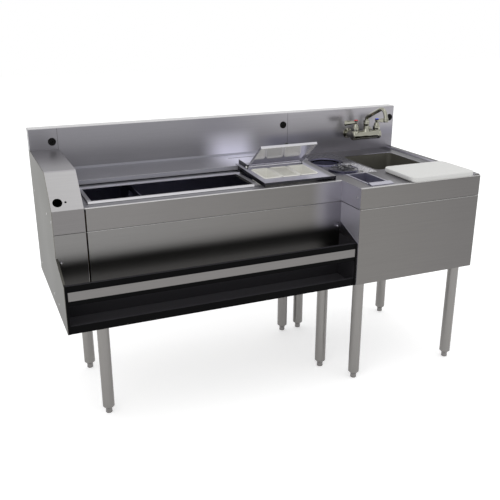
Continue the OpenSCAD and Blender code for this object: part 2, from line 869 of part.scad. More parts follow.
// Work station
module station_top() in_row() color(sheet_gray) {
    difference() {
        box([x_station, -station_d + bend_r, under_z], [x_right, 0, top_h]);
        box([insert_x0, -insert_front, under_z - t], [insert_x1, -insert_back, top_h + t]);
        rounded_box([sink_x0, -sink_back - sink_d, under_z - t],
            [sink_x0 + sink_w, -sink_back, top_h + t], sink_r);
        box([caddy_x0, -caddy_back - caddy_d, under_z - t], [caddy_x0 + caddy_w, -caddy_back, top_h + t]);
    }
    along_x(x_station, x_right) front_fold(station_d);
    for (x = [x_station, x_right - t])
        box([x, -station_d + t / 2, seam_z], [x + t, 0, top_h - t / 2]);
    along_y(-station_d + bend_r, 0) polygon([
        [x_right - edge_w, top_h], [x_right - edge_w + edge_slope, top_h + edge_rise],
        [x_right - edge_slope, top_h + edge_rise], [x_right, top_h]]);
}

module station_front_panel() in_row() color(sheet_gray) {
    z1 = seam_z - seam_gap;
    box([x_station, -station_d, base_z], [x_right, -station_d + t, z1]);
    box([x_station, -station_d, z1 - t], [x_right, -station_d + hem_w, z1]);
}

module station_side_panels() in_row() color(sheet_gray) {
    z1 = seam_z - seam_gap - t;
    box([x_station, -station_d + t, base_z], [x_station + t, splash_t - t, z1]);
    box([x_right - t, -station_d + t, base_z], [x_right, splash_t, z1]);
}

// Flush screws in the left side panel and one pan-head screw in the apron of the station
module screws() in_row() color(sheet_gray) {
    for (p = side_screws) {
        round_x(p[0], p[1], screw_r, x_left, x_left + t);
        round_x(p[0], p[1], screw_r / 2, x_left + t, x_left + screw_len);
    }
    round_x(-station_d + apron_screw_in, seam_z + apron_h / 2, screw_r, x_station - screw_h, x_station);
}

// Sink
module sink_bowl() in_row() color(sheet_gray) difference() {
    lo = [sink_x0, -sink_back - sink_d];
    hi = [sink_x0 + sink_w, -sink_back];
    union() {
        rounded_box([lo.x - sink_wall, lo.y - sink_wall, sink_floor_z - sink_wall],
            [hi.x + sink_wall, hi.y + sink_wall, under_z], sink_r + sink_wall);
        rounded_box([lo.x - sink_flange, lo.y - sink_flange, under_z - sink_wall],
            [hi.x + sink_flange, hi.y + sink_flange, under_z], sink_r + sink_flange);
    }
    rounded_box([lo.x, lo.y, sink_floor_z], [hi.x, hi.y, top_h], sink_r);
    round_z(drain_x, drain_y, drain_cup_r + loose_gap, sink_floor_z - 2 * sink_wall, top_h);
}

module sink_drain() in_row() color([0.75, 0.75, 0.74]) difference() {
    union() {
        round_z(drain_x, drain_y, drain_rim_r, sink_floor_z, sink_floor_z + drain_rim_t);
        round_z(drain_x, drain_y, drain_cup_r, sink_floor_z - drain_cup_h, sink_floor_z);
        round_z(drain_x, drain_y, tail_r, tail_z, sink_floor_z - drain_cup_h);
    }
    round_z(drain_x, drain_y, drain_cup_r - drain_cup_wall,
        sink_floor_z - drain_cup_h + drain_cup_wall, sink_floor_z + 2 * drain_rim_t);
    round_z(drain_x, drain_y, tail_r - tail_wall, tail_z - cut_over, sink_floor_z);
}

module sink_strainer() in_row() color([0.75, 0.75, 0.74]) {
    rim_z0 = sink_floor_z + drain_rim_t;
    low = rim_z0 - basket_h;
    difference() {
        union() {
            round_z(drain_x, drain_y, basket_rim_r, rim_z0, rim_z0 + basket_t);
            round_z(drain_x, drain_y, basket_r, low, rim_z0);
        }
        round_z(drain_x, drain_y, basket_r - basket_t, low + basket_t, rim_z0 + basket_t + cut_over);
        for (ring = [1:2], i = [0:6 * ring - 1]) {
            r = ring * basket_r / 3;
            a = i * 60 / ring;
            round_z(drain_x + r * cos(a), drain_y + r * sin(a), basket_hole_r,
                low - cut_over, low + 2 * basket_t);
        }
    }
    round_z(drain_x, drain_y, basket_post_r, low + basket_t, low + basket_post_h);
    round_z(drain_x, drain_y, basket_knob_r, low + basket_post_h, low + basket_post_h + basket_knob_h);
}

module cutting_board() in_row() color([0.93, 0.93, 0.91]) {
    hi = [board_x0 + board_w, -board_back];
    lo = [board_x0, -board_back - board_d];
    along_z(top_h + board_bevel, top_h + board_t - board_bevel) rounded_rect(lo, hi, board_r);
    b = [board_bevel, board_bevel] / 2;
    for (z = [top_h, top_h + board_t - board_bevel])
        along_z(z, z + board_bevel) rounded_rect(lo + b, hi - b, board_r - board_bevel / 2);
}

// Drain insert, waste chute and rinser
module drain_pan() in_row() color(sheet_gray) difference() {
    union() {
        box([pan_x0 - pan_sheet, -pan_front - pan_sheet, pan_floor_z - pan_sheet],
            [pan_x1 + pan_sheet, -pan_back + pan_sheet, under_z]);
        box([insert_x0 - ledge_w / 2, -insert_front - ledge_w / 2, under_z - pan_sheet],
            [insert_x1 + ledge_w / 2, -insert_back + ledge_w / 2, under_z]);
        round_z(pan_tail_x, pan_tail_y, pan_tail_r, pan_tail_z, pan_floor_z);
    }
    box([pan_x0, -pan_front, pan_floor_z], [pan_x1, -pan_back, top_h]);
    round_z(pan_tail_x, pan_tail_y, pan_tail_r - pan_tail_wall, pan_tail_z - cut_over, top_h);
    round_z(wet_x, ring_y, chute_r + loose_gap, pan_floor_z - 2 * pan_sheet, top_h);
    round_z(wet_x, rinser_y, valve_thread_r + loose_gap, pan_floor_z - 2 * pan_sheet, top_h);
}

// Places of the drain holes, kept off the two rings and the plain front corner
function off_ring(x, y, cy, r) = norm([x - wet_x, y - cy]) > r + hole_d / 2 + wet_clear;
function in_insert(x, y) =
    x > insert_x0 + wet_clear && x < insert_x1 - wet_clear &&
    y > -insert_front + wet_clear && y < -insert_back - wet_clear;
function drilled(x, y) =
    in_insert(x, y) && off_ring(x, y, ring_y, ring_d / 2) && off_ring(x, y, rinser_y, rinser_hole_r) &&
    norm([x - finger_x, y - finger_y]) > finger_r + hole_d && !(x < plain_x && y < plain_y);
half_pitch = hole_pitch / 2;
hole_cols = ceil(insert_w / half_pitch);
hole_rows = ceil(insert_d / half_pitch);
hole_start_share = 0.8;
hole_places = [
    for (i = [0:hole_cols], j = [0:hole_rows])
        let (
            x = insert_x1 - half_pitch * (i + hole_start_share),
            y = -insert_back - half_pitch * (j + hole_start_share))
        if ((i + j) % 2 == 0 && drilled(x, y)) [x, y]];

module drain_insert() in_row() color(sheet_gray) difference() {
    box([insert_x0 + loose_gap, -insert_front + loose_gap, under_z],
        [insert_x1 - loose_gap, -insert_back - loose_gap, top_h]);
    round_z(wet_x, ring_y, ring_d / 2 - ring_w, under_z - cut_over, top_h + cut_over);
    round_z(wet_x, rinser_y, rinser_hole_r, under_z - cut_over, top_h + cut_over);
    round_z(finger_x, finger_y, finger_r, under_z - cut_over, top_h + cut_over);
    for (p = hole_places) round_z(p.x, p.y, hole_d / 2, under_z - cut_over, top_h + cut_over);
}

module waste_ring() in_row() color(sheet_gray) translate([wet_x, ring_y, top_h]) difference() {
    union() {
        cylinder(r = ring_d / 2, h = ring_t / 2);
        cylinder(r = ring_d / 2 - ring_t / 2, h = ring_t);
    }
    translate([0, 0, -cut_over]) cylinder(r = ring_d / 2 - ring_w, h = ring_t + 2 * cut_over);
}

module waste_chute() in_row() color(sheet_gray) difference() {
    lock_z = pan_floor_z - pan_sheet;
    union() {
        round_z(wet_x, ring_y, chute_r, chute_z, under_z - chute_top_gap);
        round_z(wet_x, ring_y, chute_r + chute_flange, pan_floor_z, pan_floor_z + pan_sheet);
        round_z(wet_x, ring_y, chute_r + chute_lock_w, lock_z - chute_lock_h, lock_z);
    }
    round_z(wet_x, ring_y, chute_r - chute_wall, chute_z - cut_over, top_h);
}

module rinser_base() in_row() color(sheet_gray) difference() {
    union() {
        difference() {
            round_z(wet_x, rinser_y, rinser_r, rinser_floor_z, rinser_top_z);
            round_z(wet_x, rinser_y, rinser_r - rinser_wall, grate_z, rinser_top_z + cut_over);
            round_z(wet_x, rinser_y, rinser_r - rinser_wall - rinser_ledge,
                rinser_floor_z + rinser_wall, rinser_top_z + cut_over);
        }
        round_z(wet_x, rinser_y, valve_r, rinser_floor_z, grate_z);
        round_z(wet_x, rinser_y, neck_r, pan_floor_z, rinser_floor_z);
        round_z(wet_x, rinser_y, valve_thread_r, valve_thread_z, pan_floor_z);
        translate([wet_x, rinser_y, pan_floor_z - pan_sheet - valve_nut_h])
            cylinder(r = valve_nut_r, h = valve_nut_h, $fn = 6);
    }
    round_z(wet_x, rinser_y, valve_stem_r + running_gap, grate_z - star_stem_len - star_travel, rinser_top_z);
    for (a = [0:60:300])
        round_z(wet_x + 2 * neck_r * cos(a), rinser_y + 2 * neck_r * sin(a), valve_stem_r,
            rinser_floor_z - cut_over, rinser_floor_z + 2 * rinser_wall);
}

module rinser_grate() in_row() color(sheet_gray) translate([wet_x, rinser_y, grate_z]) difference() {
    cylinder(r = rinser_r - rinser_wall - loose_gap, h = grate_t);
    translate([0, 0, -cut_over]) cylinder(r = valve_stem_r + slide_gap, h = grate_t + 2 * cut_over);
    for (ring = [1:grate_rings], i = [0:8 * ring - 1]) {
        a = i * 45 / ring;
        r = grate_first_r + (ring - 1) * grate_step_r;
        translate([r * cos(a), r * sin(a), -cut_over]) cylinder(r = grate_hole_r, h = grate_t + 2 * cut_over);
    }
}

module rinser_star() in_row() color([0.55, 0.55, 0.56]) translate([wet_x, rinser_y, star_z]) {
    cylinder(r = star_hub_r, h = star_hub_h);
    translate([0, 0, grate_z - star_stem_len - star_z])
        cylinder(r = valve_stem_r, h = star_z - grate_z + star_stem_len);
    for (i = [0:star_arms - 1]) rotate([0, 0, 90 + i * 360 / star_arms]) {
        box([0, -star_arm_w / 2, 0], [star_arm_len, star_arm_w / 2, star_arm_t]);
        translate([star_arm_len, 0, 0]) cylinder(r = star_arm_w / 2, h = star_arm_t);
    }
}

// Tool caddy
module tool_caddy() in_row() color(sheet_gray) {
    x1 = caddy_x0 + caddy_w;
    y0 = -caddy_back - caddy_d;
    g = slide_gap;
    w = caddy_wall + slide_gap;
    z0 = top_h - caddy_depth;
    difference() {
        union() {
            box([caddy_x0 + g, y0 + g, z0], [x1 - g, -caddy_back - g, top_h]);
            box([caddy_x0 - caddy_rim, y0 - caddy_rim, top_h],
                [x1 + caddy_rim, -caddy_back + caddy_rim, top_h + caddy_rim_t]);
        }
        box([caddy_x0 + w, y0 + w, z0 + caddy_wall], [x1 - w, -caddy_back - w, top_h + 2 * caddy_rim_t]);
    }
    divider_y = -caddy_back - caddy_d * caddy_divider_share;
    box([caddy_x0 + w, divider_y, z0 + caddy_wall],
        [x1 - w, divider_y + caddy_wall, top_h - caddy_divider_drop]);
    along_x(caddy_x0 - caddy_rim, x1 + caddy_rim) polygon([
        [y0 - caddy_rim, top_h], [y0 - caddy_rim, top_h + caddy_lip_rise],
        [y0 - caddy_rim - caddy_lip_rise, top_h + caddy_lip_rise],
        [y0 - caddy_rim - caddy_lip_d, top_h + caddy_rim_t], [y0 - caddy_rim - caddy_lip_d, top_h]]);
}

// Condiment unit, drawn along its slope and then tilted about its front edge
module on_tray()
    translate([0, -tray_front, top_h]) rotate([tray_tilt, 0, 0]) translate([0, 0, skirt_h]) children();

module condiment_tray() in_row() color(sheet_gray) {
    on_tray() {
        difference() {
            box([tray_x0, 0, -t], [tray_x1, tray_len, 0]);
            box([pans_x0 + pan_rim_w, pan_first + pan_rim_w, -2 * t],
                [pans_x0 + 2 * pan_pitch + pan_w - pan_rim_w, pan_first + pan_len - pan_rim_w, t]);
        }
        box([tray_x0, 0, -tray_lip], [tray_x1, t, 0]);
        for (x = [tray_x0, tray_x1 - t]) box([x, 0, -skirt_h], [x + t, skirt_len, 0]);
        for (x = [lid_x0 - ear_gap - ear_t, lid_x1 + ear_gap])
            box([x, hinge_u - ear_w / 2, 0], [x + ear_t, tray_len, ear_h]);
        translate([lid_x0 - ear_gap - 2 * ear_t, hinge_u, hinge_n]) rotate([0, 90, 0])
            cylinder(r = hinge_pin_r, h = lid_x1 - lid_x0 + 2 * ear_gap + 4 * ear_t);
    }
}

module lid_place() on_tray() translate([0, hinge_u, hinge_n]) rotate([-lid_open, 0, 0])
    translate([0, -hinge_u, -hinge_n]) children();

module condiment_lid() in_row() color(sheet_gray) lid_place() difference() {
    union() {
        box([lid_x0, lid_front_u, lid_n - lid_t], [lid_x1, hinge_u, lid_n]);
        box([lid_x0, lid_front_u, lid_n - lid_flange], [lid_x1, lid_front_u + lid_t, lid_n]);
        for (x = [lid_x0, lid_x1 - lid_t])
            box([x, lid_front_u, lid_n - lid_flange], [x + lid_t, lid_flange_end, lid_n]);
        translate([lid_x0, hinge_u, hinge_n]) rotate([0, 90, 0]) cylinder(r = curl_r, h = lid_x1 - lid_x0);
    }
    translate([lid_x0 - cut_over, hinge_u, hinge_n]) rotate([0, 90, 0])
        cylinder(r = hinge_pin_r + running_gap, h = lid_x1 - lid_x0 + 2 * cut_over);
}

module lid_knob() in_row() color([0.12, 0.12, 0.13]) lid_place()
    translate([(lid_x0 + lid_x1) / 2, lid_front_u + knob_in, lid_n]) {
        cylinder(r = knob_stem_r, h = knob_stem_h);
        translate([0, 0, knob_stem_h]) cylinder(r = knob_r, h = knob_h);
    }

module condiment_pan(i) in_row() color([0.93, 0.93, 0.92]) on_tray() difference() {
    x0 = pans_x0 + i * pan_pitch;
    g = pan_rim_w + loose_gap;
    union() {
        rounded_box([x0, pan_first, 0], [x0 + pan_w, pan_first + pan_len, pan_rim_t], pan_r);
        rounded_box([x0 + g, pan_first + g, -pan_depth],
            [x0 + pan_w - g, pan_first + pan_len - g, pan_rim_t], pan_r);
    }
    w = g + pan_wall;
    rounded_box([x0 + w, pan_first + w, -pan_depth + pan_wall],
        [x0 + pan_w - w, pan_first + pan_len - w, pan_rim_t + cut_over], pan_r - pan_wall);
}

module pan_left() condiment_pan(0);
module pan_middle() condiment_pan(1);
module pan_right() condiment_pan(2);

// Faucet
module faucet_body() in_row() color([0.80, 0.80, 0.80]) difference() {
    union() {
        half_body = valve_span / 2 + body_end;
        round_x(-faucet_out, faucet_z, body_r, faucet_x - half_body, faucet_x + half_body);
        for (s = [-1, 1]) {
            x = faucet_x + s * valve_span / 2;
            round_y(x, faucet_z, arm_r, -faucet_out, shank_len);
            round_y(x, faucet_z, sleeve_r, -faucet_out, -flange_t - slide_gap);
            translate([x, t, faucet_z]) rotate([-90, 0, 0])
                cylinder(r = shank_nut_r, h = shank_nut_h, $fn = 6);
            round_z(x, -faucet_out, riser_r, faucet_z, bonnet_z);
        }
        round_z(faucet_x, -faucet_out, center_r, faucet_z, center_z);
    }
    round_z(faucet_x, -faucet_out, spout_r + running_gap, center_z - center_bore, center_z + cut_over);
}

module faucet_trim() in_row() color([0.82, 0.82, 0.82]) for (s = [-1, 1]) {
    x = faucet_x + s * valve_span / 2;
    difference() {
        round_y(x, faucet_z, flange_r, -flange_t, 0);
        round_y(x, faucet_z, arm_r + running_gap, -flange_t - cut_over, cut_over);
    }
    translate([x, -faucet_out, bonnet_z]) {
        cylinder(r = bonnet_r, h = bonnet_step, $fn = 6);
        cylinder(r1 = bonnet_base_r, r2 = bonnet_neck_r, h = bonnet_h);
        cylinder(r = stem_r, h = bonnet_h + stem_h);
    }
}

// A lever handle on a valve stem; s is the side that it points to
module lever_handle(s) in_row() color([0.80, 0.80, 0.80])
    translate([faucet_x + s * valve_span / 2, -faucet_out, stem_z + loose_gap]) difference() {
        union() {
            cylinder(r = hub_r, h = hub_h);
            along_y(-lever_t / 2, lever_t / 2) polygon([
                [0, lever_low], [s * lever_len, lever_end_low],
                [s * lever_len, lever_end_high], [0, lever_high]]);
        }
        translate([0, 0, -cut_over]) cylinder(r = stem_r + running_gap, h = stem_h + cut_over);
    }

module hot_handle() lever_handle(-1);
module cold_handle() lever_handle(1);

module index_cap(s) in_row()
    translate([faucet_x + s * valve_span / 2, -faucet_out, stem_z + loose_gap + hub_h])
    cylinder(r = index_r, h = index_h);

module hot_index() color([0.75, 0.16, 0.15]) index_cap(-1);
module cold_index() color([0.20, 0.28, 0.68]) index_cap(1);

// Points are (y, z) in the plane of the spout; the straight runs reach a little over the elbows
module spout_run(p, way, a, b) translate([faucet_x, p[0], p[1]])
    rotate([atan2(-way[0], way[1]), 0, 0]) translate([0, 0, a]) cylinder(r = spout_r, h = b - a);

module spout_elbow(c, r, a0, a1) translate([faucet_x, c[0], c[1]]) rotate([90, 0, 90]) rotate([0, 0, a0])
    rotate_extrude(angle = a1 - a0) translate([r, 0]) circle(spout_r - elbow_step);

module spout() in_row() color([0.80, 0.80, 0.80]) {
    round_z(faucet_x, -faucet_out, spout_r,
        center_z - center_bore + slide_gap, center_z + spout_rise + run_over);
    round_z(faucet_x, -faucet_out, spout_collar_r, center_z, center_z + spout_collar_h);
    spout_elbow(spout_c1, spout_bend_r, 0, spout_a1);
    spout_run(spout_p1, [-sin(spout_a1), cos(spout_a1)], -run_over, spout_len + run_over);
    spout_elbow(spout_c2, spout_arc_r, spout_a1, spout_end_a);
    spout_run(spout_p3, spout_way, -run_over, spout_drop);
}

module aerator() in_row() color([0.78, 0.78, 0.78])
    translate([faucet_x, spout_p3[0] + spout_drop * spout_way[0], spout_p3[1] + spout_drop * spout_way[1]])
    rotate([atan2(-spout_way[0], spout_way[1]), 0, 0]) difference() {
        cylinder(r = aerator_r, h = aerator_h);
        translate([0, 0, aerator_h / 2]) cylinder(r = aerator_bore_r, h = aerator_h);
    }

// Grommets, each split by a cross of slits
module grommets() in_row() color([0.06, 0.06, 0.06]) for (x = grommet_xs) difference() {
    union() {
        round_y(x, grommet_z, grommet_r, -grommet_t, 0);
        round_y(x, grommet_z, grommet_neck_r - running_gap, -grommet_t, 2 * t + grommet_t);
    }
    round_y(x, grommet_z, grommet_core_r, -grommet_t - cut_over, 2 * t + grommet_t + cut_over);
    for (a = [0, 90]) translate([x, 0, grommet_z]) rotate([0, a, 0])
        box([-grommet_slit / 2, -grommet_t - cut_over, -grommet_neck_r],
            [grommet_slit / 2, grommet_t + 3 * t, grommet_neck_r]);
}

// Legs and feet
module leg(p) translate([p.x, p.y, 0]) {
    half = leg_plate_w / 2;
    box([-half, -half, base_z - leg_plate_t], [half, half, base_z]);
    difference() {
        round_z(0, 0, leg_r, foot_h, base_z - leg_plate_t);
        round_z(0, 0, leg_r - leg_wall, foot_h + socket_h, base_z - leg_plate_t);
        round_z(0, 0, stud_r + running_gap, foot_h - cut_over, foot_h + socket_h + cut_over);
    }
}

module legs() in_row() color([0.62, 0.62, 0.61]) for (p = leg_places) leg(p);

module foot(i) in_row() color([0.60, 0.60, 0.59]) translate([leg_places[i].x, leg_places[i].y, 0]) {
    cylinder(r1 = foot_r - foot_chamfer, r2 = foot_r, h = foot_chamfer);
    round_z(0, 0, foot_r, foot_chamfer, foot_h - foot_shoulder);
    translate([0, 0, foot_h - foot_shoulder])
        cylinder(r1 = foot_r, r2 = leg_r - leg_wall / 2, h = foot_shoulder);
    round_z(0, 0, stud_r, foot_h, foot_h + stud_len);
}

backsplash_left();
backsplash_center();
backsplash_right();
rear_panel();
left_side_panel();
gun_housing();
housing_front_panel();
bin_top();
bin_front_panel();
ice_tub();
tub_insulation();
cold_plate();
bin_drain();
bin_divider();
rear_shelf();
bin_cover();
base_panels();
station_top();
station_front_panel();
station_side_panels();
screws();
sink_bowl();
sink_drain();
sink_strainer();
cutting_board();
drain_pan();
drain_insert();
waste_ring();
waste_chute();
rinser_base();
rinser_grate();
rinser_star();
tool_caddy();
condiment_tray();
condiment_lid();
lid_knob();
pan_left();
pan_middle();
pan_right();
faucet_body();
faucet_trim();
hot_handle();
cold_handle();
hot_index();
cold_index();
spout();
aerator();
grommets();
rail_trough();
rail_frame();
rail_strip();
legs();
foot(0);  // foot_1
foot(1);  // foot_2
foot(2);  // foot_3
foot(3);  // foot_4
foot(4);  // foot_5
foot(5);  // foot_6
foot(6);  // foot_7
foot(7);  // foot_8
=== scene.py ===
import math

import bmesh
import bpy
from mathutils import Euler, Matrix, Vector


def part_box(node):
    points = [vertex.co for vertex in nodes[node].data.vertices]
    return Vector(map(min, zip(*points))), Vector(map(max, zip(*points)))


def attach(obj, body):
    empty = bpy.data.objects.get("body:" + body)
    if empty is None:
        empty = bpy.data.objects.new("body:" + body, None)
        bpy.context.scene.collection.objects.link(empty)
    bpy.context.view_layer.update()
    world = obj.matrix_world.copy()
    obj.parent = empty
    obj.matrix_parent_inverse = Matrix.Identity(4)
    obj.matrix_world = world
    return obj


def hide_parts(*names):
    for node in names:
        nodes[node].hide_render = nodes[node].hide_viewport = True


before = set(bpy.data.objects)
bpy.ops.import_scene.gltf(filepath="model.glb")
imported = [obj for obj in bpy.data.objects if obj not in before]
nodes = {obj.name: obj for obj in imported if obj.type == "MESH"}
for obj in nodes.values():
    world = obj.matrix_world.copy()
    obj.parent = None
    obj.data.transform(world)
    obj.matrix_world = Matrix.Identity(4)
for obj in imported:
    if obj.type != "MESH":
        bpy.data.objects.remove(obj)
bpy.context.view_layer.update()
print("frame loaded:", len(nodes), "nodes")

mm = 0.001


# Screen colour 0..255 to the linear colour that the shaders take
def srgb(r, g, b):
    def linear(value):
        value /= 255.0
        return value / 12.92 if value <= 0.04045 else ((value + 0.055) / 1.055) ** 2.4
    return (linear(r), linear(g), linear(b), 1.0)


# Node groups that the materials share

def newGroup(name, inputs, outputs):
    group = bpy.data.node_groups.new(name, "ShaderNodeTree")
    for label, kind, value in inputs:
        socket = group.interface.new_socket(name=label, in_out="INPUT", socket_type=kind)
        socket.default_value = value
    for label, kind in outputs:
        group.interface.new_socket(name=label, in_out="OUTPUT", socket_type=kind)
    return group, group.nodes.new("NodeGroupInput"), group.nodes.new("NodeGroupOutput")


# Scales that draw the grinding lines out along one axis
grainAlong = {"x": (5.0, 700.0, 700.0), "y": (700.0, 5.0, 700.0), "z": (700.0, 700.0, 5.0)}


# Fine grinding lines, drawn out along one direction by the Stretch scale, and a soft cloud
def makeGrainGroup():
    group, start, end = newGroup(
        "brushedGrain",
        [("Stretch", "NodeSocketVector", grainAlong["x"]), ("Cloud Size", "NodeSocketFloat", 3.0)],
        [("Lines", "NodeSocketFloat"), ("Cloud", "NodeSocketFloat")])
    link = group.links.new
    coord = group.nodes.new("ShaderNodeTexCoord")
    scale = group.nodes.new("ShaderNodeVectorMath")
    scale.operation = "MULTIPLY"
    link(coord.outputs["Object"], scale.inputs[0])
    link(start.outputs["Stretch"], scale.inputs[1])
    lines = group.nodes.new("ShaderNodeTexNoise")
    lines.inputs["Scale"].default_value = 1.0
    lines.inputs["Detail"].default_value = 3.0
    link(scale.outputs[0], lines.inputs["Vector"])
    cloud = group.nodes.new("ShaderNodeTexNoise")
    cloud.inputs["Detail"].default_value = 2.0
    link(coord.outputs["Object"], cloud.inputs["Vector"])
    link(start.outputs["Cloud Size"], cloud.inputs["Scale"])
    link(lines.outputs["Fac"], end.inputs["Lines"])
    link(cloud.outputs["Fac"], end.inputs["Cloud"])
    return group


# How far a vector of the surface goes along Direction, as 0 at From and 1 at To
def makeMaskGroup(name, vector, low, high, interpolation):
    group, start, end = newGroup(
        name,
        [("Direction", "NodeSocketVector", (0.0, 0.0, 1.0)), ("From", "NodeSocketFloat", low),
         ("To", "NodeSocketFloat", high)],
        [("Mask", "NodeSocketFloat")])
    link = group.links.new
    coord = group.nodes.new("ShaderNodeTexCoord")
    dot = group.nodes.new("ShaderNodeVectorMath")
    dot.operation = "DOT_PRODUCT"
    ramp = group.nodes.new("ShaderNodeMapRange")
    ramp.interpolation_type = interpolation
    link(coord.outputs[vector], dot.inputs[0])
    link(start.outputs["Direction"], dot.inputs[1])
    link(dot.outputs["Value"], ramp.inputs["Value"])
    link(start.outputs["From"], ramp.inputs["From Min"])
    link(start.outputs["To"], ramp.inputs["From Max"])
    link(ramp.outputs["Result"], end.inputs["Mask"])
    return group


# Facing: cosines between the face's normal and a direction. Zone: metres along a direction
grainGroup = makeGrainGroup()
facingGroup = makeMaskGroup("facing", "Normal", 0.35, 0.85, "LINEAR")
zoneGroup = makeMaskGroup("zone", "Object", -0.76, 0.76, "SMOOTHSTEP")

# Directions that zones are measured along and that faces look in
alongX, alongY, alongZ = (1, 0, 0), (0, 1, 0), (0, 0, 1)
againstX, againstY, againstZ = (-1, 0, 0), (0, -1, 0), (0, 0, -1)
faceWays = {"up": alongZ, "down": againstZ, "front": againstY, "left": againstX, "right": alongX}


def newMaterial(name):
    material = bpy.data.materials.new(name)
    material.use_nodes = True
    return material, material.node_tree, material.node_tree.nodes["Principled BSDF"]


# The mask of one layer: the product of its faces and zones
def layerMask(tree, layer):
    masks = []
    for face in layer.get("faces", ()):
        facing = tree.nodes.new("ShaderNodeGroup")
        facing.node_tree = facingGroup
        facing.inputs["Direction"].default_value = faceWays[face]
        masks.append(facing.outputs["Mask"])
    for direction, low, high in layer.get("zones", ()):
        zone = tree.nodes.new("ShaderNodeGroup")
        zone.node_tree = zoneGroup
        zone.inputs["Direction"].default_value = direction
        zone.inputs["From"].default_value = low
        zone.inputs["To"].default_value = high
        masks.append(zone.outputs["Mask"])
    mask = masks[0]
    for other in masks[1:]:
        product = tree.nodes.new("ShaderNodeMath")
        product.operation = "MULTIPLY"
        tree.links.new(mask, product.inputs[0])
        tree.links.new(other, product.inputs[1])
        mask = product.outputs[0]
    return mask


# The colour of a finish: its tone, then each layer laid over it by its mask
def layeredTone(tree, look):
    tone = tree.nodes.new("ShaderNodeRGB")
    tone.outputs[0].default_value = srgb(*look["tone"])
    color = tone.outputs[0]
    for layer in look.get("layers", ()):
        mix = tree.nodes.new("ShaderNodeMix")
        mix.data_type = "RGBA"
        mix.inputs["B"].default_value = srgb(*layer["tone"])
        tree.links.new(color, mix.inputs["A"])
        tree.links.new(layerMask(tree, layer), mix.inputs["Factor"])
        color = mix.outputs["Result"]
    return color


# A value that swings round 1 by the spread, multiplied into the colour
def variedTone(tree, color, value, spread, low=0.25, high=0.75):
    span = tree.nodes.new("ShaderNodeMapRange")
    span.inputs["From Min"].default_value = low
    span.inputs["From Max"].default_value = high
    span.inputs["To Min"].default_value = 1.0 - spread
    span.inputs["To Max"].default_value = 1.0 + spread
    shade = tree.nodes.new("ShaderNodeMix")
    shade.data_type = "RGBA"
    shade.blend_type = "MULTIPLY"
    shade.inputs["Factor"].default_value = 1.0
    tree.links.new(value, span.inputs["Value"])
    tree.links.new(color, shade.inputs["A"])
    tree.links.new(span.outputs["Result"], shade.inputs["B"])
    return shade.outputs["Result"]


# What all the brushed sheets share: depth of the grain and swing of tone and roughness
brushed = {"roughness": 0.3, "swing": 0.04, "spread": 0.05, "cloud": 0.03, "bump": 0.2,
           "depth": 0.00004}


# Brushed stainless sheet
def steelMaterial(name, look):
    material, tree, shader = newMaterial(name)
    link = tree.links.new
    grain = tree.nodes.new("ShaderNodeGroup")
    grain.node_tree = grainGroup
    grain.inputs["Stretch"].default_value = grainAlong[look.get("grain", "x")]
    color = layeredTone(tree, look)
    color = variedTone(tree, color, grain.outputs["Lines"], brushed["spread"])
    color = variedTone(tree, color, grain.outputs["Cloud"], brushed["cloud"])
    link(color, shader.inputs["Base Color"])
    roughness = look.get("roughness", brushed["roughness"])
    rough = tree.nodes.new("ShaderNodeMapRange")
    rough.inputs["To Min"].default_value = roughness - brushed["swing"]
    rough.inputs["To Max"].default_value = roughness + brushed["swing"]
    link(grain.outputs["Cloud"], rough.inputs["Value"])
    link(rough.outputs["Result"], shader.inputs["Roughness"])
    bump = tree.nodes.new("ShaderNodeBump")
    bump.inputs["Strength"].default_value = brushed["bump"]
    bump.inputs["Distance"].default_value = brushed["depth"]
    link(grain.outputs["Lines"], bump.inputs["Height"])
    link(bump.outputs["Normal"], shader.inputs["Normal"])
    shader.inputs["Metallic"].default_value = look.get("metallic", 1.0)
    # Under 1 the sheet mirrors less where it is seen at a low angle
    edge = look.get("edge", 1.0)
    shader.inputs["Specular Tint"].default_value = (edge, edge, edge, 1.0)
    return material


# What the mottled finishes have unless their look says otherwise
mottled = {"scale": 400.0, "spread": 0.05, "bump": 0.25, "depth": 0.00005, "specular": 0.4}


# Paint, plastic, rubber, plating or cast metal: fine orange peel with a slight change of tone
def mottledMaterial(name, look):
    material, tree, shader = newMaterial(name)
    link = tree.links.new
    coord = tree.nodes.new("ShaderNodeTexCoord")
    peel = tree.nodes.new("ShaderNodeTexNoise")
    peel.inputs["Scale"].default_value = look.get("scale", mottled["scale"])
    peel.inputs["Detail"].default_value = 2.0
    link(coord.outputs["Object"], peel.inputs["Vector"])
    color = variedTone(tree, layeredTone(tree, look), peel.outputs["Fac"],
                       look.get("spread", mottled["spread"]))
    link(color, shader.inputs["Base Color"])
    bump = tree.nodes.new("ShaderNodeBump")
    bump.inputs["Strength"].default_value = mottled["bump"]
    bump.inputs["Distance"].default_value = look.get("depth", mottled["depth"])
    link(peel.outputs["Fac"], bump.inputs["Height"])
    link(bump.outputs["Normal"], shader.inputs["Normal"])
    shader.inputs["Roughness"].default_value = look["roughness"]
    shader.inputs["Metallic"].default_value = look.get("metallic", 0.0)
    shader.inputs["Specular IOR Level"].default_value = look.get("specular", mottled["specular"])
    # A glow in the look is painted light: the surface shines of itself
    shader.inputs["Emission Color"].default_value = srgb(*look["tone"])
    shader.inputs["Emission Strength"].default_value = look.get("glow", 0.0)
    return material
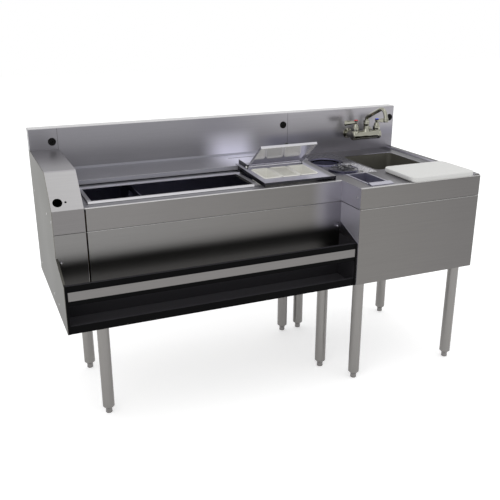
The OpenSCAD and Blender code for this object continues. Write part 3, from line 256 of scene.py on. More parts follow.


# Each steel sheet has its own tones, painted reflections of the part of the room that it mirrors. A
# layer lies on the faces and in the zones that it names, with zones as (direction, from, to) in
# metres; most layers paint a reflection, a highlight or shade there
steelLooks = {
    # Painted reflections: a darker left part, a lighter band at the right and a dark band low on
    # the front, where the black rail is mirrored; the faces that look up lighter, painted light
    "front": {"tone": (121, 120, 119), "layers": [
        {"tone": (110, 108, 106), "zones": [(alongX, -0.7, 0.25)]},
        {"tone": (134, 132, 139), "zones": [(alongX, 0.12, 0.2)]},
        {"tone": (64, 63, 62), "faces": ["front"], "zones": [(againstZ, -0.602, -0.575)]},
        {"tone": (150, 149, 158), "faces": ["up"]}]},
    # Painted light: a darker left part, a lighter band at the right of the front and lighter faces
    # that look up; painted highlights on the worktop's front strip and on the ice opening's raised
    # front rim, and a painted shade line at the foot of that rim
    "binTop": {"metallic": 0.7, "tone": (123, 121, 120), "layers": [
        {"tone": (110, 108, 106), "zones": [(alongX, -0.7, 0.25)]},
        {"tone": (142, 140, 148), "faces": ["front"], "zones": [(alongX, 0.12, 0.2)]},
        {"tone": (122, 121, 127), "faces": ["up"]},
        {"tone": (190, 189, 192), "faces": ["up"], "zones": [(againstY, 0.168, 0.172)]},
        {"tone": (56, 55, 58),
         "zones": [(againstY, 0.1335, 0.1345), (alongY, -0.1415, -0.1385),
                   (againstZ, -0.7635, -0.7625)]},
        {"tone": (176, 175, 178), "zones": [(alongZ, 0.7625, 0.7635), (againstY, 0.1, 0.12)]}]},
    # Painted reflections: a lighter middle part, lavender patches on the front, a dark patch low at
    # the right where the sink is mirrored and a bright painted sheen near the middle; the faces
    # that look up lighter, a painted highlight
    "splash": {"metallic": 0.7, "tone": (137, 136, 141), "layers": [
        {"tone": (164, 162, 167), "zones": [(alongX, -0.1, 0.3)]},
        {"tone": (134, 133, 146), "faces": ["front"],
         "zones": [(alongX, 0.1, 0.2), (againstZ, -0.87, -0.83)]},
        {"tone": (30, 29, 34), "faces": ["front"],
         "zones": [(alongX, 0.36, 0.48), (againstZ, -0.835, -0.785)]},
        {"tone": (132, 130, 137), "faces": ["front"],
         "zones": [(alongX, 0.2, 0.4), (againstZ, -0.89, -0.79)]},
        {"tone": (234, 233, 244), "faces": ["front"],
         "zones": [(alongX, -0.14, -0.02), (againstX, -0.14, -0.04), (againstZ, -0.9, -0.8)]},
        {"tone": (196, 195, 196), "faces": ["up"]}]},
    # Painted reflections: a lighter part and a bright patch near the middle, where the lid is
    # mirrored; lighter front faces, painted light, and a painted highlight along the front edge of
    # the top
    "shelf": {"metallic": 0.45, "tone": (130, 129, 136), "layers": [
        {"tone": (158, 157, 165), "zones": [(alongX, -0.14, 0.1)]},
        {"tone": (224, 223, 238), "zones": [(alongX, -0.12, 0.02), (againstX, -0.16, -0.04)]},
        {"tone": (170, 170, 178), "faces": ["front"]},
        {"tone": (190, 189, 196), "faces": ["up"], "zones": [(againstY, -0.091, -0.087)]}]},
    # Painted shadow: a dark band on the top at the back, in the shade under the shelf's lip; a
    # painted highlight over the front part
    "cover": {"metallic": 0.45, "tone": (130, 129, 138), "layers": [
        {"tone": (14, 14, 18), "faces": ["up"], "zones": [(alongY, 0.058, 0.068)]},
        {"tone": (236, 235, 246), "zones": [(againstY, -0.044, -0.034)]}]},
    "side": {"grain": "y", "edge": 0.6, "tone": (108, 107, 101), "layers": [
        {"tone": (93, 92, 87), "zones": [(againstZ, -0.75, -0.42)]}]},
    # Painted light: the slope that looks up lighter than the flat top above it, and the faces that
    # look right lighter
    "housing": {"metallic": 0.8, "tone": (120, 118, 118), "layers": [
        {"tone": (168, 167, 168), "faces": ["up"]},
        {"tone": (136, 134, 138), "faces": ["up"], "zones": [(alongZ, 0.86, 0.864)]},
        {"tone": (140, 138, 146), "faces": ["right"]}]},
    "tub": {"grain": "z", "roughness": 0.34, "metallic": 0.7, "tone": (122, 121, 142)},
    "divider": {"grain": "z", "roughness": 0.3, "tone": (110, 109, 128)},
    # Painted shade: the bowl's faces that look up darker
    "sink": {"roughness": 0.36, "metallic": 0.75, "tone": (132, 130, 122), "layers": [
        {"tone": (108, 106, 96), "faces": ["up"]}]},
    # Painted light: a darker right part, lighter faces that look up, a darker strip and then a dark
    # painted reflection on the top at the right end, painted highlights along the sink's back edge
    # and along the front edge, and lighter faces that look left
    "station": {"metallic": 0.8, "tone": (115, 113, 111), "layers": [
        {"tone": (108, 106, 105), "zones": [(alongX, 0.3, 0.72)]},
        {"tone": (118, 116, 120), "faces": ["up"]},
        {"tone": (92, 91, 98), "faces": ["up"], "zones": [(alongX, 0.55, 0.7)]},
        {"tone": (26, 25, 36), "faces": ["up"], "zones": [(alongX, 0.690, 0.700)]},
        {"tone": (236, 235, 246), "faces": ["up"],
         "zones": [(alongY, 0.1670, 0.1678), (againstY, -0.179, -0.174), (alongX, 0.54, 0.58),
                   (againstX, -0.7, -0.67)]},
        {"tone": (184, 183, 186), "faces": ["up"], "zones": [(againstY, 0.296, 0.3)]},
        {"tone": (184, 182, 192), "faces": ["left"]}]},
    "stationSide": {"grain": "y", "roughness": 0.3, "metallic": 0.5, "tone": (178, 176, 186)},
    # Painted reflection: a bright patch on the top at the right and towards the front
    "insert": {"roughness": 0.24, "metallic": 0.6, "tone": (104, 103, 110), "layers": [
        {"tone": (232, 231, 238), "faces": ["up"],
         "zones": [(alongX, 0.35, 0.41), (againstY, -0.09, -0.02)]}]},
    "chute": {"roughness": 0.3, "metallic": 0.6, "tone": (96, 95, 118)},
    "underPan": {"roughness": 0.5, "metallic": 0.5, "tone": (26, 26, 31)},
    "ring": {"roughness": 0.16, "metallic": 0.85, "tone": (92, 91, 112)},
    # Painted light: the faces that look up lighter
    "pocket": {"roughness": 0.3, "metallic": 0.6, "tone": (134, 133, 152), "layers": [
        {"tone": (176, 175, 186), "faces": ["up"]}]},
    # Painted shade: the sides and front lip nearly black, for the dark gap under the tray; the top
    # lighter, painted light, and darker at the right, a painted reflection
    "tray": {"metallic": 0.4, "tone": (20, 19, 28), "layers": [
        {"tone": (178, 177, 190), "faces": ["up"]},
        {"tone": (112, 111, 115), "faces": ["up"], "zones": [(alongX, 0.2, 0.22)]}]},
    # Painted light: the faces that look down lighter
    "lid": {"roughness": 0.09, "metallic": 0.85, "tone": (200, 199, 204), "layers": [
        {"tone": (212, 211, 220), "faces": ["down"]}]},
    "strip": {"tone": (118, 116, 115), "roughness": 0.34},
    "leg": {"grain": "z", "roughness": 0.36, "tone": (134, 132, 130)},
    "foot": {"grain": "z", "roughness": 0.36, "tone": (130, 128, 127)},
    "drain": {"grain": "z", "roughness": 0.25, "tone": (150, 148, 142)},
    "screwSteel": {"grain": "z", "roughness": 0.2, "tone": (190, 189, 188)},
}
mottledLooks = {
    "castAluminium": {"tone": (190, 192, 195), "roughness": 0.42, "metallic": 1.0, "scale": 180.0},
    "chrome": {"tone": (150, 149, 138), "roughness": 0.07, "metallic": 1.0, "scale": 60.0,
               "depth": 0.00001, "spread": 0.02},
    # Painted reflections of the white room: the rail lighter behind its front lip, and its low
    # faces that look up lighter still
    "blackPaint": {"tone": (5, 5, 6), "roughness": 0.5, "scale": 700.0, "specular": 0.05,
                   "layers": [
                       {"tone": (46, 45, 48), "zones": [(alongY, -0.3002, -0.2994)]},
                       {"tone": (54, 53, 56), "faces": ["up"], "zones": [(againstZ, -0.5, -0.4)]}]},
    "foam": {"tone": (214, 196, 148), "roughness": 0.9, "scale": 260.0, "depth": 0.0008,
             "spread": 0.12},
    "board": {"tone": (216, 216, 214), "roughness": 0.5, "scale": 900.0, "spread": 0.02},
    # The pans' glow is painted light, as if light shone through the white plastic
    "pan": {"tone": (206, 205, 199), "roughness": 0.4, "scale": 300.0, "spread": 0.02, "glow": 0.2},
    "grayPlastic": {"tone": (70, 70, 74), "roughness": 0.35, "specular": 0.5},
    "blackPlastic": {"tone": (18, 18, 20), "roughness": 0.3, "specular": 0.3},
    "red": {"tone": (196, 66, 66), "roughness": 0.25, "spread": 0.03},
    "blue": {"tone": (66, 84, 196), "roughness": 0.25, "spread": 0.03},
    "rubber": {"tone": (14, 14, 14), "roughness": 0.55, "scale": 500.0, "specular": 0.15},
}
finishes = {}
for name, look in steelLooks.items():
    finishes[name] = steelMaterial("steel" + name[0].upper() + name[1:], look)
for name, look in mottledLooks.items():
    finishes[name] = mottledMaterial(name + "Finish", look)

# The CAD nodes that have each finish
footNumbers = range(1, 9)
finishNodes = {
    "splash": ["backsplash_left", "backsplash_center", "backsplash_right"],
    "front": ["rear_panel", "housing_front_panel", "bin_front_panel", "base_panels"],
    "side": ["left_side_panel"], "housing": ["gun_housing"], "binTop": ["bin_top"],
    "tub": ["ice_tub"], "foam": ["tub_insulation"], "castAluminium": ["cold_plate"],
    "drain": ["bin_drain", "sink_drain", "sink_strainer"], "divider": ["bin_divider"],
    "shelf": ["rear_shelf"], "cover": ["bin_cover"],
    "station": ["station_top", "station_front_panel"], "stationSide": ["station_side_panels"],
    "screwSteel": ["screws"], "sink": ["sink_bowl"], "board": ["cutting_board"],
    "underPan": ["drain_pan"], "insert": ["drain_insert", "rinser_grate"],
    "ring": ["waste_ring", "rinser_base"], "chute": ["waste_chute"], "grayPlastic": ["rinser_star"],
    "pocket": ["tool_caddy"], "tray": ["condiment_tray"], "lid": ["condiment_lid"],
    "blackPlastic": ["lid_knob"], "pan": ["pan_left", "pan_middle", "pan_right"],
    "chrome": ["faucet_body", "faucet_trim", "hot_handle", "cold_handle", "spout", "aerator"],
    "red": ["hot_index"], "blue": ["cold_index"], "rubber": ["grommets"],
    "blackPaint": ["rail_trough", "rail_frame"], "strip": ["rail_strip"], "leg": ["legs"],
    "foot": [f"foot_{number}" for number in footNumbers],
}
for finish, names in finishNodes.items():
    for name in names:
        data = nodes[name].data
        if not data.materials:
            data.materials.append(finishes[finish])
        for index in range(len(data.materials)):
            data.materials[index] = finishes[finish]
print("finishes set:", len(finishes))


# Shapes that the pieces are built from. Outlines and single sizes are in millimetres

# A matrix that lays the Z axis of a turned form along another axis at a place
def onAxis(place, way=(0, 0, 1)):
    turn = Vector(way).to_track_quat("Z", "Y").to_matrix().to_4x4()
    return Matrix.Translation(Vector(place)) @ turn


mergeReach = 0.005 * mm


# An outline of (radius, height) in millimetres turned round the Z axis
def addTurned(shape, outline, matrix, steps=40, closed=False, start=0.0, sweep=360.0):
    before = set(shape.verts)
    points = [shape.verts.new((radius * mm, 0.0, height * mm)) for radius, height in outline]
    pairs = list(zip(points, points[1:]))
    if closed:
        pairs.append((points[-1], points[0]))
    edges = [shape.edges.new(pair) for pair in pairs]
    bmesh.ops.rotate(shape, verts=points, cent=(0, 0, 0),
                     matrix=Matrix.Rotation(math.radians(start), 3, "Z"))
    whole = sweep >= 360.0
    bmesh.ops.spin(shape, geom=points + edges, cent=(0, 0, 0), axis=(0, 0, 1),
                   angle=math.radians(sweep), steps=steps, use_merge=whole)
    fresh = [vert for vert in shape.verts if vert not in before]
    if not whole:
        ends = [edge for edge in shape.edges if edge.is_boundary and edge.verts[0] not in before]
        bmesh.ops.holes_fill(shape, edges=ends, sides=0)
    bmesh.ops.remove_doubles(shape, verts=fresh, dist=mergeReach)
    fresh = [vert for vert in shape.verts if vert not in before]
    bmesh.ops.transform(shape, matrix=matrix, verts=fresh)


# Equal rings of points joined one to the next, with both ends closed
def addLoft(shape, rings, matrix=Matrix.Identity(4)):
    before = set(shape.verts)
    loops = []
    for ring in rings:
        points = [shape.verts.new(point) for point in ring]
        loops.append([shape.edges.new(pair) for pair in zip(points, points[1:] + points[:1])])
    for first, second in zip(loops, loops[1:]):
        bmesh.ops.bridge_loops(shape, edges=first + second)
    bmesh.ops.edgeloop_fill(shape, edges=loops[0])
    bmesh.ops.edgeloop_fill(shape, edges=loops[-1])
    fresh = [vert for vert in shape.verts if vert not in before]
    bmesh.ops.transform(shape, matrix=matrix, verts=fresh)


# Share of half a side that a corner's radius can take
widestCorner = 0.95


# A rectangle with round corners, in metres, at one height
def roundRing(centerX, centerY, halfX, halfY, corner, height, steps=6):
    corner = min(corner, halfX * widestCorner, halfY * widestCorner)
    ring = []
    for quarter in range(4):
        signX = 1 if quarter in (0, 3) else -1
        signY = 1 if quarter in (0, 1) else -1
        for step in range(steps + 1):
            angle = (quarter + step / steps) * math.pi / 2
            ring.append((centerX + signX * (halfX - corner) + corner * math.cos(angle),
                         centerY + signY * (halfY - corner) + corner * math.sin(angle), height))
    return ring


# A block between two corners with every edge rounded
def addBlock(shape, low, high, edge, segments=3, matrix=Matrix.Identity(4)):
    before = set(shape.verts)
    low, high = Vector(low), Vector(high)
    made = bmesh.ops.create_cube(shape, size=1.0)["verts"]
    bmesh.ops.scale(shape, vec=high - low, verts=made)
    bmesh.ops.translate(shape, vec=(low + high) / 2, verts=made)
    edges = list({line for vert in made for line in vert.link_edges})
    bmesh.ops.bevel(shape, geom=edges, offset=edge, segments=segments, profile=0.5, affect="EDGES",
                    material=-1)
    fresh = [vert for vert in shape.verts if vert not in before]
    bmesh.ops.transform(shape, matrix=matrix, verts=fresh)


# A nut with chamfered edges; size is its radius over the corners
def addNut(shape, size, height, bevel, matrix):
    before = set(shape.verts)
    made = bmesh.ops.create_cone(shape, cap_ends=True, segments=6, radius1=size * mm,
                                 radius2=size * mm, depth=height * mm)["verts"]
    bmesh.ops.translate(shape, vec=(0, 0, height * mm / 2), verts=made)
    edges = list({line for vert in made for line in vert.link_edges})
    bmesh.ops.bevel(shape, geom=edges, offset=bevel * mm, segments=2, profile=0.5, affect="EDGES",
                    material=-1)
    fresh = [vert for vert in shape.verts if vert not in before]
    bmesh.ops.transform(shape, matrix=matrix, verts=fresh)


# A finished piece on a body; edges that turn more than the sharp angle stay hard
def newPiece(name, shape, finish, body, replaced=(), sharp=38.0):
    bmesh.ops.recalc_face_normals(shape, faces=shape.faces)
    for edge in shape.edges:
        edge.smooth = edge.calc_face_angle(0.0) < math.radians(sharp)
    for face in shape.faces:
        face.smooth = True
    data = bpy.data.meshes.new(name)
    shape.to_mesh(data)
    shape.free()
    data.materials.append(finishes[finish])
    piece = bpy.data.objects.new(name, data)
    bpy.context.scene.collection.objects.link(piece)
    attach(piece, body)
    if replaced:
        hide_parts(*replaced)


# Main planes of the unit, in metres. The front panel ends at the seam under the worktop's apron
apron = 76.5
plane = {
    "wall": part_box("backsplash_center")[0][1],
    "top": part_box("station_front_panel")[1][2] + apron * mm,
    "base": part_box("legs")[1][2],
    "station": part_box("station_top")[0][0],
    "bin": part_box("bin_top")[0][0],
}


# Condiment unit: its own frame lies on the tray's slope, u up the slope and n off it
condiment = {
    "front": 433.0, "skirt": 15.0, "rise": 11.5, "shelf": 186.0, "firstU": 44.0, "panLen": 127.0,
    "panWidth": 71.5, "panCorner": 12.0, "leastCorner": 5.0, "pitch": 72.0, "firstX": -26.1,
    "hingeU": 190.0, "hingeN": 6.0, "open": 41.0,
    "lidFront": 38.0, "lidLeft": -28.3, "lidRight": 191.6, "lidN": 10.2, "flange": 9.0,
    "knobIn": 20.0,
}
tilt = math.atan2(condiment["rise"], condiment["front"] - condiment["shelf"])
trayFrame = (Matrix.Translation((0, plane["wall"] - condiment["front"] * mm, plane["top"]))
             @ Matrix.Rotation(tilt, 4, "X")
             @ Matrix.Translation((0, 0, condiment["skirt"] * mm)))
lidTurn = Matrix.Rotation(math.radians(-condiment["open"]), 4, "X")
hinge = Vector((0, condiment["hingeU"] * mm, condiment["hingeN"] * mm))
lidFrame = trayFrame @ Matrix.Translation(hinge) @ lidTurn @ Matrix.Translation(-hinge)

# Pan wall from the inside floor over the rolled lip to the underside: (inset, height)
panWall = [(13.0, -72.6), (9.6, -72.0), (8.2, -69.5), (7.0, -40.0), (6.0, 1.2), (5.4, 2.8),
           (4.2, 3.7), (2.6, 4.0), (1.2, 3.8), (0.3, 3.0), (0.0, 2.0), (0.3, 0.8), (1.4, 0.1),
           (3.3, 0.1), (3.9, -1.0), (5.0, -40.0), (6.2, -71.0), (7.6, -74.2), (12.0, -75.0)]


def makePan(index, name, body):
    shape = bmesh.new()
    left = condiment["firstX"] + index * condiment["pitch"]
    centerX = (left + condiment["panWidth"] / 2) * mm
    centerU = (condiment["firstU"] + condiment["panLen"] / 2) * mm
    rings = []
    for inset, height in panWall:
        corner = max(condiment["panCorner"] - inset, condiment["leastCorner"])
        rings.append(roundRing(centerX, centerU, (condiment["panWidth"] / 2 - inset) * mm,
                               (condiment["panLen"] / 2 - inset) * mm, corner * mm, height * mm))
    addLoft(shape, rings, trayFrame)
    newPiece(name + "Moulded", shape, "pan", body, [name])


for index, (name, body) in enumerate((("pan_left", "left_pan"), ("pan_middle", "middle_pan"),
                                      ("pan_right", "right_pan"))):
    makePan(index, name, body)

# Lid knob, a turned mushroom on its neck
knobOutline = [(0, 0), (6.0, 0), (5.2, 1.0), (4.0, 2.2), (3.6, 4.0), (4.2, 5.6), (6.6, 6.4),
               (7.9, 7.6), (8.0, 9.6), (7.4, 11.8), (5.6, 13.3), (3.0, 13.9), (0, 14.0)]
shape = bmesh.new()
knobPlace = Vector(((condiment["lidLeft"] + condiment["lidRight"]) / 2,
                    condiment["lidFront"] + condiment["knobIn"], condiment["lidN"])) * mm
addTurned(shape, knobOutline, lidFrame @ Matrix.Translation(knobPlace))
newPiece("lidKnobTurned", shape, "blackPlastic", "lid", ["lid_knob"])

# Caps on the two ends of the hinge pin
capOutline = [(0, 3.4), (2.4, 3.1), (3.8, 2.2), (4.4, 0.8), (4.4, -0.6), (3.6, -1.6), (0, -1.6)]
capOut = 4.2
shape = bmesh.new()
for side, edgeX in ((-1, condiment["lidLeft"] - capOut), (1, condiment["lidRight"] + capOut)):
    place = trayFrame @ Vector((edgeX * mm, hinge.y, hinge.z))
    addTurned(shape, capOutline, onAxis(place, (side, 0, 0)), steps=20)
newPiece("hingePinCaps", shape, "board", "condiment_unit")

# A hem along the lower edge of the lid's front flange, which catches the light
shape = bmesh.new()
lidWidth = condiment["lidRight"] - condiment["lidLeft"]
hemIn, hemRadius, hemEnd = 0.4, 1.1, 0.5
hemOutline = [(0, 0), (0.9, 0.0), (hemRadius, hemEnd), (hemRadius, lidWidth - hemEnd),
              (0.9, lidWidth), (0, lidWidth)]
hemPlace = Vector((condiment["lidLeft"], condiment["lidFront"] + hemIn,
                   condiment["lidN"] - condiment["flange"])) * mm
alongLid = Matrix.Rotation(math.pi / 2, 4, "Y")
addTurned(shape, hemOutline, lidFrame @ Matrix.Translation(hemPlace) @ alongLid, steps=12)
newPiece("lidFrontHem", shape, "screwSteel", "lid")
print("condiment pieces made")


# Cutting board with rounded corners; its lower edge is rounded more than its upper one
def makeBoard():
    shape = bmesh.new()
    low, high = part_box("cutting_board")
    centerX, centerY = (low[0] + high[0]) / 2, (low[1] + high[1]) / 2
    halfX, halfY = (high[0] - low[0]) / 2, (high[1] - low[1]) / 2
    corner, edge, under = 25.0 * mm, 3.5 * mm, 8.0 * mm
    steps, cornerSteps = 4, 10
    angles = [step / steps * math.pi / 2 for step in range(steps + 1)]
    levels = [(under * (1 - math.sin(angle)), low[2] + under * (1 - math.cos(angle)))
              for angle in angles]
    levels += [(edge * (1 - math.cos(angle)), high[2] - edge * (1 - math.sin(angle)))
               for angle in angles]
    rings = [roundRing(centerX, centerY, halfX - inset, halfY - inset, corner - inset, height,
                       cornerSteps) for inset, height in levels]
    addLoft(shape, rings)
    newPiece("cuttingBoardSlab", shape, "board", "board", ["cutting_board"])


makeBoard()

# Dimpled rims round the holes of the insert: every second place of a grid, in millimetres from the
# middle of the unit and from the wall, clear of the insert's edges, its notch and its large holes
dimpleOutline = [(3.95, -0.8), (3.95, 0.1), (4.3, 0.35), (4.8, 0.3), (5.3, -0.1)]
holePitch, firstHole, gridRight, gridBack = 12.7, 0.8, 446.0, -30.0
holeColumns, holeRows = 15, 28
fieldX, fieldY, notchX, notchY = (268.0, 440.0), (-372.0, -36.0), 349.0, -252.0
keptClear = [((336.0, -170.0), 82.0), ((336.0, -313.0), 67.0), ((393.0, -352.0), 15.5)]
shape = bmesh.new()
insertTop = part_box("drain_insert")[1][2]
for column in range(holeColumns):
    for row in range(column % 2, holeRows, 2):
        x = gridRight - holePitch * (column + firstHole)
        y = gridBack - holePitch * (row + firstHole)
        onSheet = fieldX[0] < x < fieldX[1] and fieldY[0] < y < fieldY[1]
        inNotch = x < notchX and y < notchY
        isClear = all(math.dist((x, y), middle) > reach for middle, reach in keptClear)
        if onSheet and not inNotch and isClear:
            place = (x * mm, plane["wall"] + y * mm, insertTop)
            addTurned(shape, dimpleOutline, onAxis(place), 12, True)
newPiece("insertDimples", shape, "insert", "insert")

# Waste ring with a crowned face and a rolled inner lip: (radius, height over the worktop)
ringOutline = [(72.0, 0.1), (71.9, 1.2), (71.0, 2.6), (69.2, 3.6), (66.5, 4.0), (61.0, 4.0),
               (58.4, 3.7), (57.0, 2.9), (56.3, 1.7), (56.2, 0.6), (57.2, 0.1)]
shape = bmesh.new()
low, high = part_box("waste_ring")
ringPlace = ((low[0] + high[0]) / 2, (low[1] + high[1]) / 2, low[2])
addTurned(shape, ringOutline, onAxis(ringPlace), steps=72, closed=True)
newPiece("wasteRingRolled", shape, "ring", "insert", ["waste_ring"])

# Rolled rim of the glass rinser
shape = bmesh.new()
low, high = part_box("rinser_base")
rinserPlace = Vector(((low[0] + high[0]) / 2, (low[1] + high[1]) / 2, high[2]))
rimOutline = [(55.9, -1.6), (56.0, -0.6), (55.6, 0.2), (54.8, 0.5), (54.2, 0.2), (54.0, -0.6),
              (54.1, -1.6)]
addTurned(shape, rimOutline, onAxis(rinserPlace), steps=64, closed=True)
newPiece("rinserRim", shape, "ring", "cabinet")

# Spray nozzles on the arms of the rinser's cross, which lie a little under its hub
nozzleOutline = [(2.6, -0.4), (2.6, 0.5), (1.9, 1.1), (0.9, 1.3), (0, 1.3), (0, -0.4)]
starArms, nozzleReaches, armDrop = 5, (17.0, 34.0), 2.5
shape = bmesh.new()
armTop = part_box("rinser_star")[1][2] - armDrop * mm
for arm in range(starArms):
    angle = arm * 2 * math.pi / starArms
    for reach in nozzleReaches:
        place = (rinserPlace.x + reach * mm * math.cos(angle),
                 rinserPlace.y + reach * mm * math.sin(angle), armTop)
        addTurned(shape, nozzleOutline, onAxis(place), steps=12)
newPiece("rinserNozzles", shape, "screwSteel", "rinser_cross")
print("station pieces made")

# Faucet: the body's middle from the wall and over the worktop, and its valves from the middle
faucetOut, halfSpan, faucetRise = 63.0, 50.8, 76.0
neckHeight, flangeOut = 20.0, 1.5
faucetX = (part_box("faucet_body")[0][0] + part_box("faucet_body")[1][0]) / 2
faucetPlace = Vector((faucetX, plane["wall"] - faucetOut * mm, plane["top"] + faucetRise * mm))

# The cast body: a barrel with beaded ends, two valve necks, the spout neck and the wall arms
barrelOutline = [(0, -68.8), (11.0, -68.6), (15.6, -67.6), (18.6, -65.4), (20.0, -62.2),
                 (20.0, -58.6), (19.0, -57.4), (19.2, -56.0), (20.0, -54.6), (19.8, -44.0),
                 (18.8, -30.0), (18.6, -16.0), (19.4, -9.0), (19.6, 0.0)]
barrelOutline += [(radius, -along) for radius, along in reversed(barrelOutline[:-1])]
neckOutline = [(0, 0), (16.5, 0), (16.2, 8.0), (14.2, 12.0), (13.2, 15.0), (13.4, 18.2),
               (12.8, 19.6), (11.0, neckHeight), (0, neckHeight)]
centerOutline = [(0, 0), (18.6, 4.0), (17.8, 12.0), (15.2, 18.6), (12.8, 22.4), (11.9, 27.0),
                 (11.4, 36.0), (11.6, 42.0), (12.4, 43.0), (12.8, 46.0), (12.6, 50.6), (11.6, 52.0),
                 (8.3, 52.0), (8.3, 30.0), (0, 30.0)]
armOutline = [(0, 0), (15.0, 0), (15.0, 38.0), (14.4, 49.0), (12.8, 56.2), (12.0, 57.0),
              (10.0, 57.0), (10.0, 62.9), (9.6, 63.4), (9.6, 102.0), (8.8, 103.0), (0, 103.0)]
wallNut = {"size": 17.0, "height": 7.0, "bevel": 0.8}
shape = bmesh.new()
addTurned(shape, barrelOutline, onAxis(faucetPlace, (1, 0, 0)), steps=48)
addTurned(shape, centerOutline, onAxis(faucetPlace), steps=40)
for side in (-1, 1):
    valve = faucetPlace + Vector((side * halfSpan * mm, 0, 0))
    addTurned(shape, neckOutline, onAxis(valve), steps=40)
    addTurned(shape, armOutline, onAxis(valve, (0, 1, 0)), steps=32)
    behindWall = valve + Vector((0, (faucetOut + flangeOut) * mm, 0))
    addNut(shape, matrix=onAxis(behindWall, (0, 1, 0)), **wallNut)
newPiece("faucetCasting", shape, "chrome", "cabinet", ["faucet_body"])

# Wall flanges, valve bonnets and stems
flangeOutline = [(10.1, 0.0), (22.0, 0.0), (22.0, 1.0), (21.2, 2.2), (17.5, 3.2), (14.0, 3.9),
                 (12.0, 4.9), (10.1, 5.0)]
bonnetOutline = [(0, 12.0), (12.8, 12.0), (13.0, 14.4), (12.2, 15.4), (11.8, 17.0), (11.2, 21.0),
                 (9.8, 25.6), (9.0, 27.2), (8.0, 28.0), (4.0, 28.0), (4.0, 36.6), (3.4, 37.0),
                 (0, 37.0)]
bonnetNut = {"size": 15.0, "height": 14.0, "bevel": 0.9}
shape = bmesh.new()
for side in (-1, 1):
    valve = faucetPlace + Vector((side * halfSpan * mm, 0, 0))
    onWall = valve + Vector((0, faucetOut * mm, 0))
    addTurned(shape, flangeOutline, onAxis(onWall, (0, -1, 0)), closed=True)
    neckTop = onAxis(valve + Vector((0, 0, neckHeight * mm)))
    addNut(shape, matrix=neckTop, **bonnetNut)
    addTurned(shape, bonnetOutline, neckTop)
newPiece("faucetBonnets", shape, "chrome", "cabinet", ["faucet_trim"])

# Lever handles: a hub on the stem with its collar and its coloured button, and a deep flat blade.
# The blade's stations are (reach, lower edge, upper edge, half thickness)
leverLift, hubHeight = 48.3, 13.0
hubOutline = [(4.1, 0.0), (5.6, 0.0), (6.0, 0.6), (6.0, 4.0), (6.6, 5.5), (6.6, 11.0), (6.0, 12.6),
              (5.0, hubHeight), (4.1, hubHeight), (4.1, 9.6)]
bladeRun = [(2.0, 1.6, 11.8, 2.3), (10.0, 0.4, 12.6, 2.4), (22.0, -1.8, 14.2, 2.5),
            (36.0, -3.6, 15.6, 2.5), (46.0, -4.3, 16.3, 2.5), (51.0, -4.8, 16.8, 2.4),
            (53.6, -4.0, 16.0, 2.1), (54.8, -1.6, 13.6, 1.3)]
collarOutline = [(6.4, 8.6), (7.6, 9.0), (7.9, 10.4), (7.9, 12.2), (7.4, hubHeight),
                 (6.0, hubHeight), (6.0, 8.6)]
buttonOutline = [(0, 0.0), (7.9, 0.0), (8.5, 0.5), (8.5, 1.5), (7.9, 2.5), (6.0, 3.2), (3.0, 3.5),
                 (0, 3.5)]


# A blade's cross-section, an oval drawn towards a rectangle by its two powers
def bladeRing(reach, low, high, halfThick, steps=20, flatness=0.6, fullness=0.8):
    ring = []
    for step in range(steps):
        angle = step / steps * 2 * math.pi
        rise, out = math.sin(angle), math.cos(angle)
        across = halfThick * math.copysign(abs(out) ** flatness, out)
        upward = (low + high) / 2 + (high - low) / 2 * math.copysign(abs(rise) ** fullness, rise)
        ring.append((reach * mm, across * mm, upward * mm))
    return ring


def makeLever(side, body, handle, index, finish):
    place = faucetPlace + Vector((side * halfSpan * mm, 0, leverLift * mm))
    shape = bmesh.new()
    addTurned(shape, hubOutline, onAxis(place), closed=True)
    rings = [bladeRing(side * reach, *section) for reach, *section in bladeRun]
    addLoft(shape, rings, Matrix.Translation(place))
    newPiece(handle + "Blade", shape, "chrome", body, [handle])
    shape = bmesh.new()
    addTurned(shape, collarOutline, onAxis(place), closed=True)
    newPiece(handle + "Collar", shape, "blackPlastic", body)
    shape = bmesh.new()
    addTurned(shape, buttonOutline, onAxis(place + Vector((0, 0, hubHeight * mm))))
    newPiece(index + "Button", shape, finish, body, [index])


makeLever(-1, "hot_lever", "hot_handle", "hot_index", "red")
makeLever(1, "cold_lever", "cold_handle", "cold_index", "blue")

# Aerator at the end of the spout: a ribbed barrel with a screen inside. The spout's end points
# down and forward, by its angle from upright
spoutEnd = math.radians(165.0)
spoutDown = Vector((0, -math.sin(spoutEnd), math.cos(spoutEnd)))
aeratorLength, ribCount = 15.0, 24
ribLow, ribHigh, ribEdge = (9.5, -0.45, 4.2), (10.3, 0.45, 10.6), 0.2
aeratorLow, aeratorHigh = (Vector(corner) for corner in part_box("aerator"))
aeratorTop = (aeratorLow + aeratorHigh) / 2 - spoutDown * aeratorLength / 2 * mm
aeratorOutline = [(8.1, 0.0), (9.6, 0.2), (10.3, 1.4), (10.3, 3.4), (9.7, 3.9), (9.7, 10.8),
                  (10.4, 11.4), (10.5, 13.8), (9.8, 14.8), (8.4, aeratorLength), (7.4, 14.6),
                  (7.2, 9.6), (0, 9.4), (0, 0.0)]
shape = bmesh.new()
addTurned(shape, aeratorOutline, onAxis(aeratorTop, spoutDown), steps=40)
for rib in range(ribCount):
    turn = Matrix.Rotation(rib * 2 * math.pi / ribCount, 4, "Z")
    addBlock(shape, Vector(ribLow) * mm, Vector(ribHigh) * mm, ribEdge * mm, 1,
             onAxis(aeratorTop, spoutDown) @ turn)
newPiece("aeratorBarrel", shape, "chrome", "swivel_spout", ["aerator"])
print("faucet pieces made")

